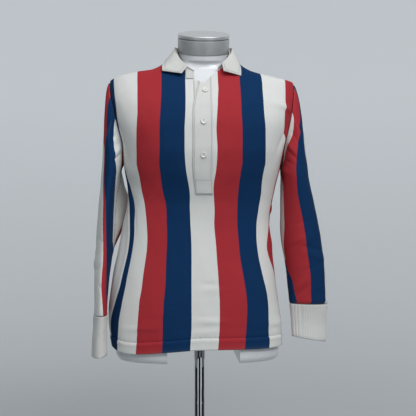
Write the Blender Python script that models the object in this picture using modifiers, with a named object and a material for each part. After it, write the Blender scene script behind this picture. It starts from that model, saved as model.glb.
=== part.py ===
"""Long-sleeved rugby shirt on a limbless dress form with a round stand, metres, +Z up, front facing -Y."""

import math

import bpy
import numpy as np
from mathutils import Vector

MM = 0.001

# Cloth walls and clearances.
JERSEY = 1.6 * MM
TWILL = 1.6 * MM
COLLAR_CLOTH = 2.0 * MM
RIB = 2.4 * MM
SEAM_GAP = 0.3 * MM
LAY_GAP = 0.35 * MM
OVERLAP_GAP = 0.8 * MM
SLEEVE_GAP = 1.2 * MM
CUFF_GAP = 1.2 * MM
STAND_LIFT = 1.5 * MM

# Body of the shirt.
UNDERARM = 825 * MM
SHOULDER_TIP = 1012 * MM
ARMHOLE_HALF_OPENING = 52 * MM
SIDE_SHARE = 0.85
SIDE_MARGIN = 115 * MM
HEM_DEPTH = 24 * MM
HEM_LEDGE = 1.0 * MM
LEDGE_STEP = 1.5 * MM
NECK_CENTRE = 8 * MM
NECK_HALF_WIDTH = 66 * MM
NECK_FOOT = 998 * MM
GRAIN_SPREAD = 3
HALF_COLUMNS_NECK = 6
HALF_COLUMNS_SHOULDER = 10
LOWER_ROWS = 13
UPPER_ROWS = 12
ARC_SAMPLES = 181
PANEL_HALF = 240
EDGE_FADE = 0.08
PLACKET_ROW = 10

# Placket: arc distances from the centre front, heights from the floor.
SLOT_LEFT = -13 * MM
SLOT_RIGHT = 18 * MM
PLACKET_FOOT = 768 * MM
OVERLAP_LEFT = -17.5 * MM
OVERLAP_RIGHT = 26 * MM
OVERLAP_FOOT = 760 * MM
OVERLAP_TOP_SHIFT = 15 * MM
OVERLAP_TURN_HEIGHT = 935 * MM
OVERLAP_TURN_POWER = 1.3
STRIP_STEP = 4 * MM
BUTTON_ARC = 6.5 * MM
BUTTON_RADIUS = 6.3 * MM
BUTTON_THICKNESS = 2.6 * MM
BUTTON_RIM = 1.1 * MM
BUTTON_DISH = 0.7 * MM
BUTTON_HEIGHTS = (982 * MM, 913 * MM, 843 * MM)

# Dress form and stand.
FORM_EASE = 3.2 * MM
FORM_DROP = 3.2 * MM
FORM_RING_POINTS = 40
ARCH_LEFT = -74 * MM
ARCH_RIGHT = 84 * MM
ARCH_FOOT = 300 * MM
ARCH_TOP = 470 * MM
ARCH_CORNER = 45 * MM
ARCH_STEPS = 6
ARCH_REACH = 200 * MM
NECK_TILT = math.radians(20)
CAP_RADIUS = 58 * MM
CAP_BASE = Vector((8.5 * MM, -4 * MM, 1083 * MM))
CAP_HEIGHT = 31 * MM
CAP_BEVEL = 1.5 * MM
CAP_SEGMENTS = 40
LID_HEIGHT = 8 * MM
LID_BEVEL = 2 * MM
LID_GROOVE = 2 * MM
LID_LIP = 5 * MM
STAND_SEGMENTS = 28
POLE_RADIUS = 12 * MM
SOCKET_RADIUS = 20 * MM
SOCKET_HEIGHT = 26 * MM
SOCKET_FLANGE = 8 * MM
FLANGE_THICKNESS = 4 * MM
FLANGE_FILLET = 1 * MM
BASE_RADIUS = 150 * MM
BASE_THICKNESS = 12 * MM
BASE_SEGMENTS = 48
BASE_SLOPE = 12 * MM
BASE_EDGE = 3 * MM
BASE_RIM = 5 * MM
BOSS_RADIUS = 19 * MM
BOSS_HEIGHT = 34 * MM
BOSS_BEVEL = 2 * MM

# Level sections of the worn shirt, millimetres: height from the floor, half width, front and back depth,
# sideways centre, squareness of the outline, turn of the centre front and of the side seams along the arc.
SECTION_COLUMNS = ("height", "half_width", "front", "back", "centre", "square", "turn", "side_turn")
SECTIONS = (
    (400, 191, 95, 102, -3, 2.3, 8, 6),
    (419, 192, 96, 103, -5, 2.3, 10, 11),
    (476, 194, 97, 108, -10, 2.3, 18, 28),
    (521, 191, 96, 108, -13, 2.3, 22, 48),
    (567, 185, 92, 100, -12, 2.3, 20, 56),
    (635, 174, 84, 88, -9, 2.3, 14, 55),
    (691, 166, 81, 82, -7, 2.3, 10, 46),
    (737, 163, 85, 86, 0, 2.3, 2, 27),
    (771, 166, 95, 94, 4, 2.3, -4, 10),
    (816, 175, 111, 107, 6, 2.4, -10, 0),
    (862, 183, 120, 116, 8, 2.6, -12, 0),
    (905, 194, 119, 119, 7, 2.9, -12, 0),
    (950, 204, 108, 114, 6, 3.0, -9, 0),
    (985, 209, 88, 100, 5, 3.0, -4, 0),
    (1012, 207, 71, 86, 5, 2.8, 0, 0),
    (1022, 187, 66, 80, -3, 2.5, 0, 0),
    (1031, 153, 62, 76, -7, 2.3, 0, 0),
    (1040, 115, 58, 72, 2, 2.1, 0, 0),
    (1055, 88, 54, 66, 5, 2.0, 0, 0),
    (1077, 60, 48, 58, 8, 2.0, 0, 0),
)

# Hem line, millimetres: share of the way from centre front to side seam (left side negative), height.
HEM_LINE = ((-1.0, 422), (-0.7, 413), (-0.35, 419), (0.0, 425), (0.5, 423), (1.0, 421))
BACK_HEM_LINE = ((-1.0, 422), (-0.4, 418), (0.4, 418), (1.0, 421))

# Front and back necklines, millimetres: place across from the neck's centre, height.
FRONT_NECK = (
    (-66, 1072), (-57, 1053), (-42, 1031), (-24, 1012), (-10, 1004), (-2, 999), (7, 1009), (18, 1021),
    (28, 1030), (42, 1041), (57, 1055), (66, 1072),
)
BACK_NECK = ((-66, 1072), (-52, 1069), (-30, 1067), (30, 1067), (52, 1069), (66, 1072))

# Soft folds of the body: panel, share across, height, half length, half width, rise (mm), slope (degrees).
BODY_FOLDS = (
    ("front", 0.80, 950, 42, 9, 3.0, -12),
    ("front", 0.84, 868, 45, 12, 3.5, 62),
    ("front", 0.93, 716, 30, 11, 6.0, -38),
    ("front", 0.90, 668, 34, 11, 4.0, 30),
    ("front", -0.88, 845, 40, 12, 3.5, -62),
    ("front", -0.95, 735, 60, 10, 3.0, 82),
    ("front", -0.60, 470, 38, 8, 2.2, 3),
    ("front", 0.05, 486, 34, 8, 2.4, -4),
    ("front", 0.02, 462, 30, 7, 2.0, 2),
    ("front", 0.72, 474, 34, 8, 2.2, -5),
    ("front", 0.55, 1000, 30, 9, 1.6, 20),
    ("back", -0.76, 590, 75, 16, 6.0, 84),
    ("back", -0.55, 640, 70, 13, 4.0, 78),
    ("back", 0.50, 655, 80, 13, 4.0, 100),
    ("back", 0.90, 600, 80, 14, 5.0, 96),
    ("back", -0.75, 870, 48, 13, 4.0, 60),
    ("back", 0.75, 870, 48, 13, 4.0, 120),
    ("back", 0.10, 715, 60, 12, 4.5, 4),
    ("back", -0.20, 690, 55, 11, 4.0, -6),
    ("back", 0.30, 470, 36, 9, 2.5, 2),
)

# Sleeve sections below the armhole, millimetres: height, centre out from the middle plane, centre along Y,
# half width, half depth, yaw in degrees.
SLEEVE_COLUMNS = ("height", "out", "along", "half_width", "half_depth", "yaw")
SLEEVES = {
    "left": (
        (800, 218, 2, 31, 72, -4),
        (737, 224, 2, 39, 62, -2),
        (657, 233, 0, 46, 51, 0),
        (589, 242, -4, 45, 42, 2),
        (521, 248, -8, 45, 31, 4),
    ),
    "right": (
        (800, 202, -4, 20, 77, 4),
        (748, 208, -9, 18, 75, 4),
        (635, 214, -22, 19, 66, 4),
        (560, 218, -43, 16, 54, 5),
        (503, 219, -53, 14, 49, 6),
    ),
}
# Cuff rings: height at the middle, centre out, centre along Y, half width, half depth, yaw, fall of the
# outer side (mm).
CUFFS = {
    "left": (
        (513, 248, -8, 44, 27, 4, 1),
        (490, 248, -9, 42, 22, 4, 2),
        (462, 248, -10, 40, 19, 4, 5),
        (434, 248, -12, 39, 20, 4, 7),
    ),
    "right": (
        (498, 219, -54, 15, 46, 6, 0),
        (470, 220, -56, 15, 44, 6, 0),
        (440, 221, -58, 16, 44, 6, 1),
        (412, 221, -60, 17, 45, 6, 2),
    ),
}
SLEEVE_RING_POINTS = 24
SLEEVE_CAP_ROWS = (0.0, 0.05, 0.12, 0.22, 0.35, 0.5, 0.66, 0.83)
SLEEVE_ROWS = 11
CAP_LEAVE = 0.07
CAP_ARRIVE = 0.36
CAP_SLOPE = 0.8
CAP_LEAN = 0.12

# Soft folds of the sleeves: side, angle round from the outside (degrees, front positive), height, half
# length, half width, rise (mm), slope (degrees). A degree round a sleeve is about SLEEVE_DEGREE mm.
SLEEVE_DEGREE = 0.95
SLEEVE_FOLDS = (
    ("left", 70, 905, 36, 9, 3.5, 62),
    ("left", 110, 868, 30, 9, 4.0, 40),
    ("left", 150, 815, 26, 9, 3.0, 20),
    ("left", 95, 660, 34, 10, 3.0, -18),
    ("left", 60, 622, 30, 9, 2.5, 14),
    ("left", 120, 560, 30, 8, 2.5, -30),
    ("left", -70, 890, 40, 10, 4.0, 60),
    ("left", -100, 650, 34, 10, 3.5, 16),
    ("right", 70, 900, 40, 10, 4.0, 68),
    ("right", 120, 860, 30, 9, 4.0, 44),
    ("right", 165, 640, 34, 10, 3.0, -16),
    ("right", 20, 610, 34, 9, 2.5, 18),
    ("right", -60, 880, 40, 10, 4.0, 58),
    ("right", -110, 640, 34, 10, 3.0, -14),
    ("right", -137, 756, 42, 25, 35.0, 90),
    ("right", -142, 690, 44, 24, 23.0, 90),
)

# Collar by angle round the neck from the back (wearer's right negative), millimetres from the neck's
# centre: top of the stand, roll, corner and free edge of the fall, each as sideways, along Y and height.
COLLAR_COLUMNS = (
    "angle", "top_x", "top_y", "top_z", "roll_x", "roll_y", "roll_z",
    "mid_x", "mid_y", "mid_z", "edge_x", "edge_y", "edge_z",
)
COLLAR = (
    (-160, -24, -67, 1029, -25, -71, 1032, -40, -76, 1018, -60, -76, 1020),
    (-148, -35, -65, 1036, -37.5, -69, 1039.5, -51, -77, 1021.5, -93.4, -66, 1030),
    (-134, -48, -44.5, 1052, -51, -49.5, 1056, -66, -60, 1041, -93.5, -54, 1041.5),
    (-112, -58, -23, 1074, -62, -26, 1078, -74, -29, 1067, -90, -29, 1052),
    (-90, -61.5, 2, 1091, -65, 2, 1094.5, -70, 4, 1084, -85.5, 7, 1063),
    (-45, -45, 43, 1097, -49, 47, 1100, -57, 55, 1085, -66, 64, 1057),
    (0, 0, 61, 1098, 0, 65.5, 1101, 0, 74, 1086, 0, 86, 1058),
    (45, 45, 43, 1097, 49, 47, 1100, 57, 55, 1085, 66, 64, 1057),
    (90, 61.5, 2, 1091, 65, 2, 1094.5, 71, 4, 1084, 82, 7, 1063),
    (112, 58, -23, 1076, 62, -26, 1080, 73, -29, 1067, 81, -29, 1053),
    (134, 47, -44.5, 1057, 50, -49.5, 1061, 62, -58, 1046, 81.5, -54, 1037),
    (148, 35, -60, 1044, 37.5, -65, 1047.5, 40, -76, 1028, 80.3, -66, 1020.5),
    (152, 31, -63, 1039, 33.5, -67, 1043, 38, -76, 1026, 76, -68, 1020),
)
STAND_ENDS = (-160, 152)
FALL_END = 148
FALL_CORNER = 0.6
CORNER_ANGLES = (118, 148)
STAND_COLUMNS = 30
# The stand's end on the wearer's right laps over the front: angles where it starts to stand out, is fully
# out, and where its end drops below the neckline, with the height of that end's foot.
LAP_ANGLES = (-122, -143, -144, -146.5)
LAP_FOOT = 1010.5 * MM
STAND_ROWS = 3
FALL_COLUMNS = 30
FALL_ROWS = 5
LABEL_ANGLES = (-133, -108)
LABEL_ROWS = (0.25, 0.85)
LABEL_THICKNESS = 1.0 * MM
LABEL_GAP = 0.7 * MM

# Levels of the form's torso, millimetres: height, and how much further inside the shirt than its ease.
FORM_LEVELS = (
    (392, 9.5), (394.5, 7), (404, 3), (425, 3), (460, 3), (500, 3), (545, 3), (590, 3), (640, 3), (690, 2.6),
    (740, 0.75), (785, 0), (830, 0), (875, 0), (915, 0), (950, 0), (980, 0), (998, 1), (1008, 1), (1016, 1),
    (1023, 1), (1030, 1),
)

# Neck of the form above the shoulders, millimetres: height of the centre, half width, front depth, back
# depth, centre along Y, sideways centre, share of the full tilt.
FORM_NECK = (
    (1040, 100, 50, 60, 0, 6, 0.05),
    (1049, 74, 48.5, 55, -1, 7, 0.20),
    (1058, 61, 50, 54, -2, 8, 0.45),
    (1067, 57, 54, 55, -3, 8.5, 0.75),
    (1082.6, 56.5, 56.5, 56.5, -4, 8.5, 1.0),
)

COLOURS = {
    "jersey": ("B9B4B8", 0.85, 0.0),
    "twill": ("DDDEDB", 0.8, 0.0),
    "rib": ("D8D6D4", 0.85, 0.0),
    "button": ("E9E8E2", 0.35, 0.0),
    "label": ("0A0A0C", 0.7, 0.0),
    "shell": ("D9DBDE", 0.35, 0.0),
    "cap": ("9FA1A2", 0.4, 0.3),
    "chrome": ("C9CBCE", 0.1, 1.0),
}


def linear(code):
    """Linear colour of an sRGB hex code."""
    values = [int(code[i:i + 2], 16) / 255 for i in (0, 2, 4)]
    return [v / 12.92 if v <= 0.04045 else ((v + 0.055) / 1.055) ** 2.4 for v in values]


def curve(xs, ys, x):
    """Shape-keeping cubic through the points xs, ys, level beyond both ends."""
    xs = np.asarray(xs, float)
    ys = np.asarray(ys, float)
    x = np.clip(np.asarray(x, float), xs[0], xs[-1])
    step = np.diff(xs)
    grade = np.diff(ys) / step
    slope = np.zeros(len(xs))
    for i in range(1, len(xs) - 1):
        if grade[i - 1] * grade[i] > 0:
            before = 2 * step[i] + step[i - 1]
            after = step[i] + 2 * step[i - 1]
            slope[i] = (before + after) / (before / grade[i - 1] + after / grade[i])
    slope[0] = grade[0]
    slope[-1] = grade[-1]
    k = np.clip(np.searchsorted(xs, x) - 1, 0, len(step) - 1)
    t = (x - xs[k]) / step[k]
    return (
        (2 * t**3 - 3 * t**2 + 1) * ys[k]
        + (t**3 - 2 * t**2 + t) * step[k] * slope[k]
        + (3 * t**2 - 2 * t**3) * ys[k + 1]
        + (t**3 - t**2) * step[k] * slope[k + 1]
    )


SECTION_ARRAY = np.array(SECTIONS, float)
SECTION_ARRAY[:, :5] *= MM
SECTION_ARRAY[:, 6:] *= MM


def section(height, column):
    """A named measure of the shirt's level section at a height."""
    return curve(SECTION_ARRAY[:, 0], SECTION_ARRAY[:, SECTION_COLUMNS.index(column)], height)


def ring_xy(height, angle, inset=0.0):
    """Plan points of the section at a height, by angle from the front, towards the wearer's left."""
    power = 2 / section(height, "square")
    half = section(height, "half_width") - inset
    depth = np.where(np.cos(angle) > 0, section(height, "front"), section(height, "back")) - inset
    x = section(height, "centre") + half * np.sign(np.sin(angle)) * np.abs(np.sin(angle)) ** power
    y = -depth * np.sign(np.cos(angle)) * np.abs(np.cos(angle)) ** power
    return x, y


def arc_point(height, arc):
    """Point of the section at a height, by arc length from its geometric front."""
    angles = np.linspace(-math.pi, math.pi, 2 * ARC_SAMPLES - 1)
    x, y = ring_xy(height, angles)
    run = np.concatenate(([0.0], np.cumsum(np.hypot(np.diff(x), np.diff(y)))))
    middle = run[ARC_SAMPLES - 1]
    girth = run[-1]
    where = (arc + middle) % girth
    return np.interp(where, run, x), np.interp(where, run, y)


def quarter(height, side):
    """Arc length from the geometric front to the side (side -1 or 1), and half the girth."""
    angles = np.linspace(0, math.pi, ARC_SAMPLES)
    x, y = ring_xy(height, side * angles)
    run = np.concatenate(([0.0], np.cumsum(np.hypot(np.diff(x), np.diff(y)))))
    return run[ARC_SAMPLES // 2], run[-1]


def lower_point(panel, share, height):
    """Point of a body panel below the underarm, by its share across from -1 to 1."""
    left_quarter, left_half = quarter(height, -1)
    right_quarter, right_half = quarter(height, 1)
    side = float(section(height, "side_turn"))
    left = side - left_quarter
    right = side + right_quarter
    if panel == "front":
        middle = float(section(height, "turn"))
    else:
        left += left_half + right_half
        middle = right_half + 0.5 * side
        left, right = right, left
    trimmed = share * (1 - SEAM_GAP / (right - left))
    arc = middle + trimmed * ((right - middle) if share > 0 else (middle - left))
    x, y = arc_point(height, arc)
    return float(x), float(y)


def surface_y(panel, x, height):
    """Depth of a body panel at a sideways place and height, above the underarm."""
    square = section(height, "square")
    reach = np.abs(x - section(height, "centre")) / section(height, "half_width")
    inner = np.maximum(0.0, 1 - np.minimum(reach, 1.0) ** square) ** (1 / square)
    depth = section(height, panel)
    return -depth * inner if panel == "front" else depth * inner


def ridge_height(x):
    """Height of the shoulder line at a sideways place."""
    low, high = SHOULDER_TIP, SECTIONS[-1][0] * MM
    for _ in range(40):
        mid = (low + high) / 2
        if section(mid, "half_width") > abs(x - section(mid, "centre")):
            low = mid
        else:
            high = mid
    return low


def neck_height(panel, x):
    """Height of a panel's neckline at a sideways place."""
    rows = np.array(FRONT_NECK if panel == "front" else BACK_NECK) * MM
    return float(curve(rows[:, 0], rows[:, 1], x - NECK_CENTRE))


def armhole_point(side, angle):
    """Point of the armhole loop: angle 0 at the shoulder tip, growing to the front, half a turn underarm."""
    height = UNDERARM + (SHOULDER_TIP - UNDERARM) * (1 + math.cos(angle)) / 2
    y = -ARMHOLE_HALF_OPENING * math.sin(angle)
    square = section(height, "square")
    depth = section(height, "front" if y < 0 else "back")
    reach = (1 - min(1.0, abs(y) / depth) ** square) ** (1 / square)
    x = section(height, "centre") + side * section(height, "half_width") * reach
    return np.array((float(x), y, height))


def resample(points, count):
    """Points spread evenly along a polyline."""
    points = np.asarray(points)
    run = np.concatenate(([0.0], np.cumsum(np.linalg.norm(np.diff(points, axis=0), axis=1))))
    at = np.linspace(0, run[-1], count)
    return np.column_stack([np.interp(at, run, points[:, k]) for k in range(3)])


def upper_column(panel, share, rows):
    """A panel's grain line from the underarm level up to its neckline or shoulder line."""
    side = 1 if share > 0 else -1
    front = panel == "front"
    if abs(share) > 0.9999:
        turn = np.linspace(math.pi, 0, 60) * (1 if front else -1)
        points = np.array([armhole_point(side if front else -side, a) for a in turn])
        points[:, 1] += -SEAM_GAP / 2 if front else SEAM_GAP / 2
        return resample(points, rows)
    across, _ = lower_point(panel, share, UNDERARM)
    hand = side if front else -side
    level = np.linspace(UNDERARM, SHOULDER_TIP, 40)
    turn = np.arccos(np.clip(2 * (level - UNDERARM) / (SHOULDER_TIP - UNDERARM) - 1, -1, 1))
    edge = np.array([armhole_point(hand, a if front else -a)[0] for a in turn])
    spread = (edge - edge[0]) * abs(share) ** GRAIN_SPREAD
    top_x = across + spread[-1]
    on_neck = abs(top_x - NECK_CENTRE) < NECK_HALF_WIDTH - 0.1 * MM
    top = neck_height(panel, top_x) if on_neck else ridge_height(top_x)
    share_up = 1 - (1 - np.linspace(0, 1, 90)) ** 2
    heights = UNDERARM + (top - UNDERARM) * share_up
    xs = across + np.interp(heights, level, spread)
    ys = surface_y(panel, xs, heights)
    if abs(share) > SIDE_SHARE:
        opening = ARMHOLE_HALF_OPENING * np.sin(np.interp(heights, level, turn))
        bound = opening + (1 - abs(share)) * SIDE_MARGIN
        close = (np.abs(ys) < bound) & (heights < SHOULDER_TIP)
        square = section(heights, "square")
        reach = (1 - (bound / section(heights, panel)) ** square) ** (1 / square)
        held = section(heights, "centre") + hand * section(heights, "half_width") * reach
        xs = np.where(close, held, xs)
        ys = np.where(close, -bound if front else bound, ys)
    if not on_neck:
        ys[-1] = 0.0
    points = np.column_stack((xs, ys, heights))
    points = resample(points, rows)
    if not on_neck:
        points[-1, 1] = -SEAM_GAP / 2 if front else SEAM_GAP / 2
    return points


def neck_share(panel, side):
    """Share across at which a grain line meets the corner of the neckline and the shoulder line."""
    low, high = 0.05, 0.6
    for _ in range(30):
        mid = (low + high) / 2
        x, _ = lower_point(panel, side * mid, UNDERARM)
        if abs(x - NECK_CENTRE) < NECK_HALF_WIDTH:
            low = mid
        else:
            high = mid
    return high


def panel_shares(panel, extra):
    """Column positions of a panel from -1 to 1: even runs to the neck corner and on to the side."""
    shares = []
    for side in (-1, 1):
        corner = neck_share(panel, side)
        inner = [corner * k / HALF_COLUMNS_NECK for k in range(1, HALF_COLUMNS_NECK + 1)]
        outer = [corner + (1 - corner) * k / HALF_COLUMNS_SHOULDER for k in range(1, HALF_COLUMNS_SHOULDER + 1)]
        own = [abs(e) for e in extra if e * side > 0]
        if own:
            first = own[0]
            inner = [first + (corner - first) * k / HALF_COLUMNS_NECK for k in range(HALF_COLUMNS_NECK + 1)]
        shares += [side * s for s in inner + outer]
    shares.append(0.0)
    return sorted(shares)


def fold_rise(folds, first, second):
    """Rise of the soft folds at a place; first and second are distances in millimetres on the cloth."""
    rise = 0.0
    for across, height, length, width, peak, slope in folds:
        c, s = math.cos(math.radians(slope)), math.sin(math.radians(slope))
        along = (first - across) * c + (second - height) * s
        aside = -(first - across) * s + (second - height) * c
        rise += peak * math.exp(-((along / length) ** 2) - (aside / width) ** 2)
    return rise * MM


def normals(grid, closed=False):
    """Unit normals of a grid of points, rows upward and columns to the right seen from outside."""
    grid = np.asarray(grid)
    if closed:
        across = np.roll(grid, -1, axis=1) - np.roll(grid, 1, axis=1)
    else:
        across = np.gradient(grid, axis=1)
    up = np.gradient(grid, axis=0)
    out = np.cross(across, up)
    return out / np.linalg.norm(out, axis=2, keepdims=True)


def out_direction(x, y, height):
    """Outward unit direction of the worn shirt's surface through a point."""
    def fullness(level):
        depth = section(level, "front" if y < 0 else "back")
        reach = abs(x - section(level, "centre")) / section(level, "half_width")
        return reach ** section(level, "square") + (abs(y) / depth) ** section(level, "square")

    square = float(section(height, "square"))
    half = float(section(height, "half_width"))
    depth = float(section(height, "front" if y < 0 else "back"))
    reach = (x - float(section(height, "centre"))) / half
    slope = np.array((
        math.copysign(abs(reach) ** (square - 1), reach) * square / half,
        math.copysign((abs(y) / depth) ** (square - 1), y) * square / depth,
        float(fullness(height + MM) - fullness(height - MM)) / (2 * MM),
    ))
    return slope / np.linalg.norm(slope)


def body_grid(panel):
    """Outer points of the front or back, the wall's directions, and the columns' shares."""
    slot = []
    if panel == "front":
        slot = slot_shares()
    shares = panel_shares(panel, slot)
    hem = np.array(HEM_LINE if panel == "front" else BACK_HEM_LINE)
    rise = np.linspace(0, 1, LOWER_ROWS - 2)
    columns = []
    for share in shares:
        foot = float(curve(hem[:, 0], hem[:, 1] * MM, share))
        ledge = foot + HEM_DEPTH
        levels = [foot, ledge - LEDGE_STEP]
        levels += list(ledge + (UNDERARM - ledge) * rise)
        levels[PLACKET_ROW] = PLACKET_FOOT
        lower = [(*lower_point(panel, share, z), z) for z in levels]
        upper = upper_column(panel, share, UPPER_ROWS + 1)
        columns.append(np.vstack((lower[:-1], upper)))
    grid = np.stack(columns, axis=1)
    out = np.array([[out_direction(*point) for point in line] for line in grid])
    folds = [(f[1] * PANEL_HALF, *f[2:]) for f in BODY_FOLDS if f[0] == panel]
    for j, share in enumerate(shares):
        edge = min(1.0, (1 - abs(share)) / EDGE_FADE)
        for i in range(grid.shape[0]):
            lift = fold_rise(folds, share * PANEL_HALF, grid[i, j, 2] / MM)
            fade = edge * min(1.0, (grid.shape[0] - 1 - i) / 3)
            ledge_lift = HEM_LEDGE if i < 2 else 0.0
            grid[i, j] += out[i, j] * (lift * fade + ledge_lift)
    return grid, out, shares


def slot_shares():
    """Shares across at which the placket's slot is cut."""
    left_quarter, _ = quarter(UNDERARM, -1)
    right_quarter, _ = quarter(UNDERARM, 1)
    turn = float(section(UNDERARM, "turn"))
    return [SLOT_LEFT / (turn + left_quarter), SLOT_RIGHT / (right_quarter - turn)]


def on_grid(grid, out, shares, share, height):
    """Point and outward direction of a panel's facets at a share across and a height."""
    j = int(np.clip(np.searchsorted(shares, share) - 1, 0, len(shares) - 2))
    part = (share - shares[j]) / (shares[j + 1] - shares[j])
    column = grid[:, j] * (1 - part) + grid[:, j + 1] * part
    lean = out[:, j] * (1 - part) + out[:, j + 1] * part
    i = int(np.clip(np.searchsorted(column[:, 2], height) - 1, 0, len(column) - 2))
    rise = (height - column[i, 2]) / (column[i + 1, 2] - column[i, 2])
    direction = lean[i] * (1 - rise) + lean[i + 1] * rise
    return column[i] * (1 - rise) + column[i + 1] * rise, direction / np.linalg.norm(direction)


def new_mesh_object(name, points, faces):
    """Object from lofted points and faces in the shirt's collection."""
    mesh = bpy.data.meshes.new(name)
    mesh.from_pydata([tuple(float(c) for c in p) for p in points], [], faces)
    mesh.update()
    obj = bpy.data.objects.new(name, mesh)
    PART.objects.link(obj)
    return obj


def loft(name, grid, closed=False):
    """Open surface through a grid of points."""
    rows, cols = grid.shape[:2]
    faces = []
    for i in range(rows - 1):
        for j in range(cols if closed else cols - 1):
            k = (j + 1) % cols
            faces.append((i * cols + j, i * cols + k, (i + 1) * cols + k, (i + 1) * cols + j))
    return new_mesh_object(name, grid.reshape(-1, 3), faces)


def cloth(obj, thickness):
    """Give an open surface the wall of its cloth, inwards."""
    wall = obj.modifiers.new("wall", "SOLIDIFY")
    wall.thickness = thickness
    wall.offset = -1.0
    wall.use_even_offset = True
    wall.use_rim = True
    return obj


def wall_loft(name, grid, out, thickness, skip=None):
    """Closed wall through an outer grid and the same grid moved inwards, both split on the shorter diagonals."""
    rows, cols = grid.shape[:2]
    flat = grid.reshape(-1, 3)
    outer = []
    for i in range(rows - 1):
        for j in range(cols - 1):
            if skip and skip(i, j):
                continue
            low = i * cols + j
            high = low + cols
            rising = np.linalg.norm(flat[low] - flat[high + 1])
            falling = np.linalg.norm(flat[low + 1] - flat[high])
            if rising < falling:
                outer += [(low, low + 1, high + 1), (low, high + 1, high)]
            else:
                outer += [(low, low + 1, high), (low + 1, high + 1, high)]
    used = sorted({v for f in outer for v in f})
    index = {v: n for n, v in enumerate(used)}
    outer = [tuple(index[v] for v in f) for f in outer]
    depth = len(used)
    edges = {(f[k], f[(k + 1) % 3]) for f in outer for k in range(3)}
    faces = outer + [tuple(v + depth for v in reversed(f)) for f in outer]
    points = flat[used]
    for a, b in sorted(edges):
        if (b, a) in edges:
            continue
        if points[a, 2] < points[b, 2]:
            faces += [(b, a, b + depth), (a, a + depth, b + depth)]
        else:
            faces += [(b, a, a + depth), (b, a + depth, b + depth)]
    inner = points - out.reshape(-1, 3)[used] * thickness
    return new_mesh_object(name, np.vstack((points, inner)), faces)


def finish(obj, material, smooth=True, sharp=40):
    """Material and shading of a finished piece."""
    code, rough, metal = COLOURS[material]
    slot = bpy.data.materials.get(material) or bpy.data.materials.new(material)
    slot.use_nodes = True
    shader = slot.node_tree.nodes["Principled BSDF"]
    shader.inputs["Base Color"].default_value = (*linear(code), 1)
    shader.inputs["Roughness"].default_value = rough
    shader.inputs["Metallic"].default_value = metal
    obj.data.materials.append(slot)
    if smooth:
        obj.data.shade_smooth()
        obj.data.set_sharp_from_angle(angle=math.radians(sharp))
    return obj


def make_body():
    """Front, cut open behind the placket, and back."""
    grid, out, shares = PANELS["front"]
    left, right = (shares.index(s) for s in slot_shares())
    front = wall_loft("front", grid, out, JERSEY, lambda i, j: i >= PLACKET_ROW and left <= j < right)
    finish(front, "jersey")
    back_grid, back_out, _ = PANELS["back"]
    finish(wall_loft("back", back_grid, back_out, JERSEY), "jersey")


def sleeve_ring(row, side, count):
    """Level sleeve section: from the outer point round by the front."""
    height, out, along, half_width, half_depth, yaw = row[:len(SLEEVE_COLUMNS)]
    fall = row[len(SLEEVE_COLUMNS)] if len(row) > len(SLEEVE_COLUMNS) else 0.0
    points = []
    for k in range(count):
        angle = 2 * math.pi * k / count
        a = half_width * math.cos(angle)
        b = -half_depth * math.sin(angle)
        turn = math.radians(yaw)
        x = side * a * math.cos(turn) - b * math.sin(turn)
        y = side * a * math.sin(turn) + b * math.cos(turn)
        z = height - fall * math.cos(angle)
        points.append((side * out + x, along + y, z))
    return np.array(points) * MM


def sleeve_grid(name):
    """Outer points of a sleeve from the armhole down to the cuff."""
    side = 1 if name == "left" else -1
    rows = np.array(SLEEVES[name], float)
    count = SLEEVE_RING_POINTS
    angles = [2 * math.pi * k / count for k in range(count)]
    start = np.array([armhole_point(side, a) for a in angles])
    start[:, 0] += side * SLEEVE_GAP
    first = sleeve_ring(rows[0], side, count)
    reach = np.linalg.norm(first - start, axis=1, keepdims=True)
    leave = start + reach * CAP_LEAVE * np.array((side, 0, -CAP_SLOPE))
    arrive = first + reach * CAP_ARRIVE * np.array((-CAP_LEAN * side, 0, 1))
    rings = []
    for t in SLEEVE_CAP_ROWS:
        rings.append(
            (1 - t) ** 3 * start
            + 3 * t * (1 - t) ** 2 * leave
            + 3 * t**2 * (1 - t) * arrive
            + t**3 * first
        )
    for height in np.linspace(rows[0, 0], rows[-1, 0], SLEEVE_ROWS):
        order = np.argsort(rows[:, 0])
        row = [curve(rows[order, 0], rows[order, k], height) for k in range(rows.shape[1])]
        rings.append(sleeve_ring([float(v) for v in row], side, count))
    seam = sleeve_ring(CUFFS[name][0], side, count)
    seam[:, 2] += CUFF_GAP
    rings.append(seam)
    grid = np.array(rings[::-1])
    if side > 0:
        grid = grid[:, ::-1]
    out = normals(grid, closed=True)
    folds = [(f[1], *f[2:]) for f in SLEEVE_FOLDS if f[0] == name]
    for i in range(1, grid.shape[0] - 1):
        fade = min(1.0, (grid.shape[0] - 1 - i) / 3, i / 2)
        for j in range(count):
            k = j if side < 0 else count - 1 - j
            turn = 360 * k / count
            near = [(((f[0] - turn + 180) % 360 - 180) * SLEEVE_DEGREE, *f[1:]) for f in folds]
            grid[i, j] += out[i, j] * fade * fold_rise(near, 0.0, grid[i, j, 2] / MM)
    return grid


def make_sleeves():
    """Sleeves and rib cuffs."""
    for name, side in (("left", 1), ("right", -1)):
        grid = sleeve_grid(name)
        finish(cloth(loft("sleeve_" + name, grid, closed=True), JERSEY), "jersey")
        rings = [sleeve_ring(row, side, SLEEVE_RING_POINTS) for row in CUFFS[name]]
        cuff = np.array(rings[::-1])
        if side > 0:
            cuff = cuff[:, ::-1]
        finish(cloth(loft("cuff_" + name, cuff, closed=True), RIB), "rib")


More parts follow.
